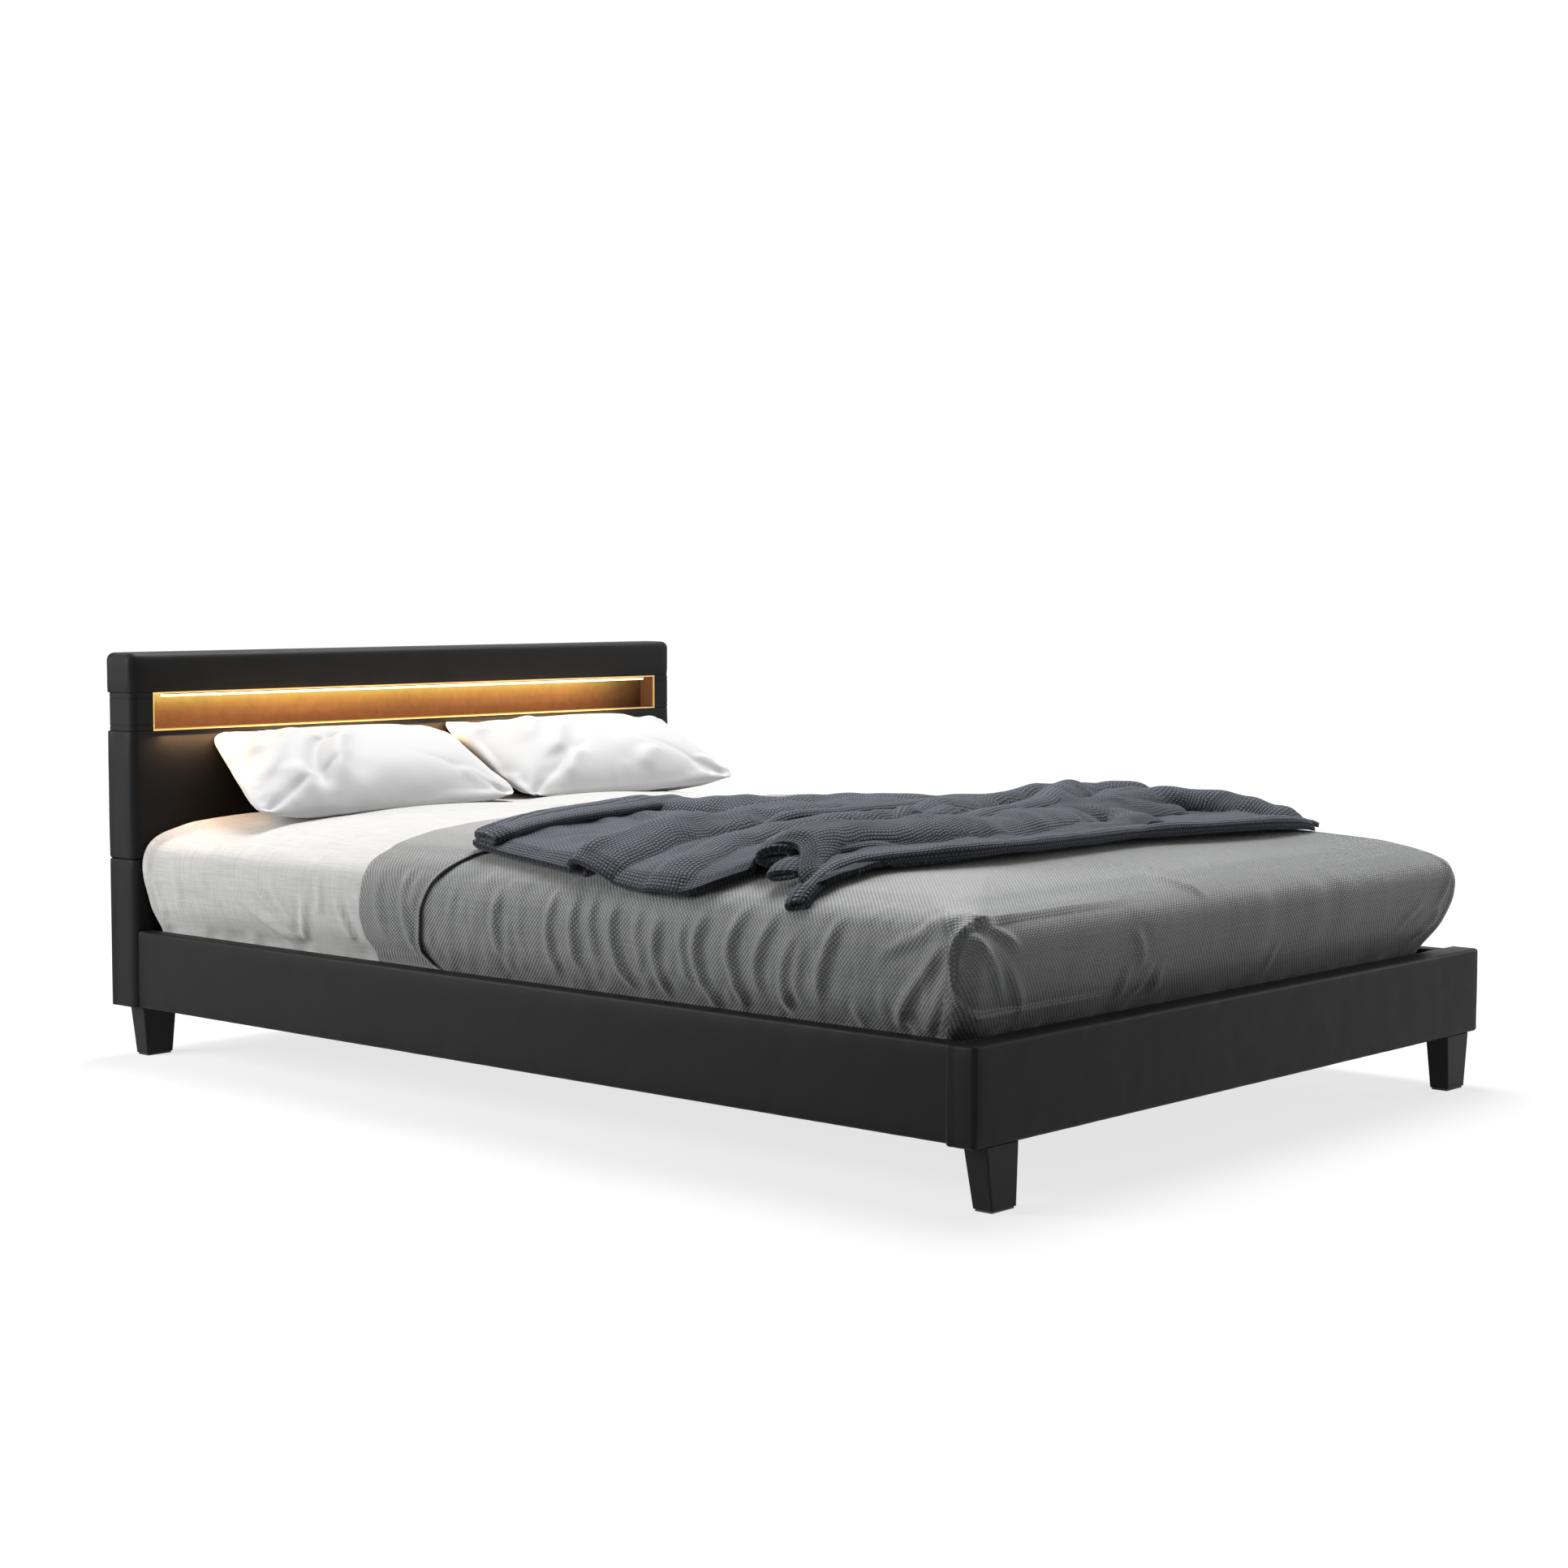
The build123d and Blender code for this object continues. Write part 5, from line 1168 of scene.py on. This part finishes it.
def throw_height(a, b):
    """Height of the blanket's underside over the bedspread: ridges that run smoothly into each other."""
    power = 5.0
    share_of_height = 0.80
    total = 0
    for points, foot_reach, head_reach in throw_ridges:
        line = smooth_line(points, 30)
        dist, share, side = near_line(a, b, line)
        crest = np.interp(share, np.linspace(0, 1, len(line)), line[:, 2])
        share_out = dist / (1.5 * np.where(side > 0, head_reach, foot_reach))
        total = total + (crest * np.maximum(0, 1 - share_out ** 2) ** 0.7) ** power
    return share_of_height * total ** (1 / power)


def surface_lengths(points):
    """Lengths along both directions of a grid, for its weave."""
    u = np.cumsum(np.linalg.norm(np.diff(points, axis=0, prepend=points[:1]), axis=2), 0)
    v = np.cumsum(np.linalg.norm(np.diff(points, axis=1, prepend=points[:, :1]), axis=2), 1)
    return np.stack([u, v], -1)


def throw_sheet():
    plan = between_edges(250, 150)
    a, b = plan[..., 0], plan[..., 1]
    flat = np.stack([a, b, 0 * a], -1)
    lift = throw_height(a, b)
    inside = smoothstep(0, 0.05, np.minimum(b - b[:, :1], b[:, -1:] - b)) * smoothstep(0, 0.04, a - a[:1])
    lift = lift + inside * (0.005 + 0.007 * noise(flat, 9, 41) + 0.004 * noise(flat, 24, 42))
    lift = np.maximum(lift, 0)
    hang_over = THROW_OVERHANG * np.maximum(0, lift - 0.012)
    full = on_spread(a, b + FOOT - hang_over, lift + THROW_LIE + THROW_THICKNESS)
    return thicken(grid_object("throw_sheet", full, surface_lengths(full)), THROW_THICKNESS)


def rolled_layer(name, line, half_width, half_height, seed, is_open):
    """A rolled fold of the blanket along (A, Y from the foot, height of its top)."""
    path = smooth_line(line, 70)
    length = lengths_along(path[:, :2])
    body = np.arange(0.008, length[-1], 0.006)
    sunk = smoothstep(0.10, 0.0, length[-1] - body)
    place, scale, slit = body, 1 - 0.8 * sunk ** 2, np.ones(len(body))
    if is_open:
        place = np.concatenate([(0.014, 0.005, 0.001, 0.000, 0.003), body])
        scale = np.concatenate([(0.46, 0.52, 0.68, 0.86, 0.96), scale])
        slit = np.concatenate([(0.22, 0.26, 0.66, 0.95, 1.00), np.ones(len(body))])
        sunk = np.concatenate([np.zeros(5), sunk])
    else:
        start = smoothstep(0.10, 0.0, body)
        scale = scale * (1 - 0.8 * start ** 2)
        sunk = np.maximum(sunk, start)
    scale, slit, sunk = scale[:, None], slit[:, None], sunk[:, None]
    a, b, top = (np.interp(place, length, path[:, k])[:, None] for k in range(3))
    top = top - 0.014 * sunk
    way = np.stack([np.interp(place, length, np.gradient(path[:, k], length)) for k in (0, 1)], -1)
    way /= np.linalg.norm(way, axis=1, keepdims=True)
    turn = np.linspace(0, 2 * pi, 27)[:-1]
    wide = half_width * scale * np.sign(np.cos(turn)) * np.abs(np.cos(turn)) ** 0.8
    tall = half_height * scale * slit * np.sign(np.sin(turn)) * np.abs(np.sin(turn)) ** 0.8
    a, b, lift = a - way[:, 1:] * wide, b + way[:, :1] * wide, top - half_height + tall
    flat = np.stack([a, b, lift], -1)
    swell = 1 + 0.16 * noise(flat, 11, seed) + 0.08 * noise(flat, 31, seed + 1)
    lift = top - half_height + tall * swell
    full = on_spread(a, b + FOOT, np.maximum(lift, 0.001))
    girth = turn / 2 * (half_width + half_height)
    uv = np.stack(np.broadcast_arrays(place[:, None], girth[None]), -1)
    return close_holes(grid_object(name, full, uv, wrap=True))


rolls = [rolled_layer(f"throw_roll_{k}", *roll, seed=51 + 3 * k, is_open=k < OPEN_ROLLS)
         for k, roll in enumerate(throw_rolls)]
throw = join("throw_blanket", [throw_sheet()] + rolls)
finish_piece(throw, "knit", "throw", "chunky_knit", "throw")

# Camera, floor and light
camera_data = bpy.data.cameras.new("camera")
camera = new_object("camera", camera_data)
camera.location = (-3.9406, -3.5735, 0.9216)
camera.rotation_euler = (radians(90 - 4.0568), 0, radians(-48.0457))
camera_data.sensor_fit = "HORIZONTAL"
camera_data.sensor_width = 36.0
camera_data.lens = 64.758
bpy.context.scene.camera = camera


def seen_directly(web, *rays):
    """1 for rays from the camera and the kinds named, 0 for the rest."""
    path = web.new("LightPath").outputs
    seen = path["Is Camera Ray"]
    for ray in rays:
        seen = web.math("MAXIMUM", seen, path[ray])
    return seen


def pale_floor():
    corners = ((-30, -30, 0), (30, -30, 0), (30, 30, 0), (-30, 30, 0))
    ob = mesh_object("floor", corners, [(0, 1, 2, 3)])
    mat, web = new_material("pale_floor")
    reach = web.new("VectorMath", web.coords(), operation="LENGTH").outputs["Value"]
    far = web.ramp(web.mul(reach, 0.1), (0.15, 0.76), (0.50, 1))
    web.shade(Emission_Strength=web.mul(seen_directly(web, "Is Glossy Ray"), far), Emission_Color=(1, 1, 1),
              Base_Color=(0.25, 0.25, 0.25), Roughness=0.9, Specular_IOR_Level=0.0)
    ob.data.materials.append(mat)


def white_world():
    world = bpy.data.worlds.new("world")
    bpy.context.scene.world = world
    world.use_nodes = True
    web = Web(world.node_tree)
    seen = seen_directly(web, "Is Glossy Ray", "Is Transmission Ray")
    strength = web.add(web.mul(seen, 0.90), 0.10)
    web.fill(world.node_tree.nodes["Background"], Color=(1, 1, 1), Strength=strength)


def soft_light(name, place, target, size, power, colour=(1, 1, 1)):
    data = bpy.data.lights.new(name, "AREA")
    data.shape = "RECTANGLE"
    data.size, data.size_y = size
    data.energy = power
    data.color = colour
    ob = new_object(name, data)
    ob.location = place
    ob.rotation_euler = (Vector(target) - Vector(place)).to_track_quat("-Z", "Y").to_euler()
    return ob


pale_floor()
white_world()
soft_light("top_light", (1.3, 0.8, 4.6), (0.1, 0, 0.4), (2.6, 2.8), 325)
soft_light("left_light", (-3.0, 1.9, 1.4), (-0.8, 0.6, 0.35), (1.8, 1.6), 88)
soft_light("right_light", (4.4, -2.6, 1.7), (0.5, -1.0, 0.35), (1.8, 1.6), 30)
niche_light = soft_light("niche_light", (-0.05, 0.972, 0.630), (-0.05, 0.93, 0.30), (1.25, 0.03), 4.6,
                         (1.0, 0.60, 0.30))
niche_light.visible_camera = False
bpy.context.scene.view_settings.view_transform = "Standard"
